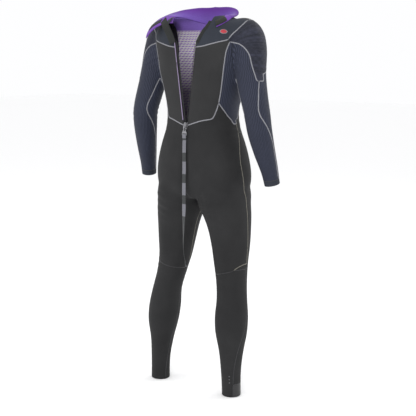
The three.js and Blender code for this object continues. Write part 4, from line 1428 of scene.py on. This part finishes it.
def printed_mark(name, outline, on, finish, lift):
    """A flat outline (x, y, z corners in the drawing) laid on a panel, and rounded by subdivision."""
    bm = bmesh.new()
    bm.faces.new([bm.verts.new(place(*p)) for p in outline])
    bmesh.ops.triangulate(bm, faces=bm.faces[:])
    bmesh.ops.subdivide_edges(bm, edges=bm.edges[:], cuts=5, use_grid_fill=True)
    tree = BVHTree.FromObject(on, bpy.context.evaluated_depsgraph_get())
    for v in bm.verts:
        spot, direction, _, _ = tree.find_nearest(v.co)
        v.co = spot + direction * lift * MM
    mesh = bpy.data.meshes.new(name)
    bm.to_mesh(mesh)
    bm.free()
    mesh.polygons.foreach_set("use_smooth", [True] * len(mesh.polygons))
    mesh.materials.append(finish)
    mark = bpy.data.objects.new(name, mesh)
    bpy.context.scene.collection.objects.link(mark)
    return mark


ovals = [(math.cos(a), math.sin(a)) for a in np.arange(20) * math.pi / 10]
(badge_x, badge_y, badge_z), (half_x, half_y, half_z) = BADGE_MIDDLE, BADGE_HALF
for word, size, finish, lift in (("rim", 1.25, GREY_PRINT, 0.35), ("badge", 1.0, RED_PRINT, 0.7)):
    outline = [(badge_x + half_x * size * c, badge_y + half_y * size * c, badge_z + half_z * size * d)
               for c, d in ovals]
    follow_zip(printed_mark(f"shoulder_{word}", outline, sheets["yoke_right"], finish, lift))
for k, (height, back) in enumerate(DOTS):
    dot = [(DOT_X + DOT_RADIUS * math.cos(a), back, height + DOT_RADIUS * math.sin(a))
           for a in np.arange(10) * math.pi / 5]
    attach(printed_mark(f"calf_dot_{k}", dot, sheets["calf_right"], GREY_PRINT, 0.35), "suit")
print("printed marks:", 2 + len(DOTS))

# %% [markdown]
# Last come a plain pale floor, soft studio light from large lamps, and a bright plain surround.

# %% Floor and light
FLOOR_SIZE = 20.0  # metres


def pale_floor():
    finish, tree, shader = new_finish("pale_floor", 0.9)
    shader.inputs["Base Color"].default_value = (0.98, 0.98, 0.98, 1)
    edge = np.linspace(-FLOOR_SIZE, FLOOR_SIZE, 7)
    grid = [(x, y, -0.002) for y in edge for x in edge]
    faces = [(r * 7 + c, r * 7 + c + 1, r * 7 + c + 8, r * 7 + c + 7) for r in range(6) for c in range(6)]
    floor = cloth_piece("floor", grid, faces, None, [finish])


def lamp(name, position, aim, size, power):
    data = bpy.data.lights.new(name, "AREA")
    data.size = size
    data.energy = power
    light = bpy.data.objects.new(name, data)
    bpy.context.scene.collection.objects.link(light)
    light.location = position
    light.rotation_euler = (Vector(aim) - Vector(position)).to_track_quat("-Z", "Y").to_euler()


pale_floor()
lamp("key_lamp", (1.8, -3.6, 2.5), (0, 0, 1.0), 1.8, 56)
lamp("fill_lamp", (-3.2, -2.6, 2.2), (0, 0, 0.8), 2.4, 22)
lamp("rim_lamp", (1.5, 3.2, 2.8), (0, 0, 0.9), 2.0, 34)
lamp("top_lamp", (0, -0.3, 4.0), (0, 0, 1.0), 2.2, 16)
world = bpy.data.worlds.new("surround")
world.use_nodes = True
world.node_tree.nodes["Background"].inputs["Color"].default_value = (0.99, 0.992, 1.0, 1)
world.node_tree.nodes["Background"].inputs["Strength"].default_value = 1.0
bpy.context.scene.world = world
bpy.context.scene.view_settings.view_transform = "Standard"
print("lamps:", len(bpy.data.lights))
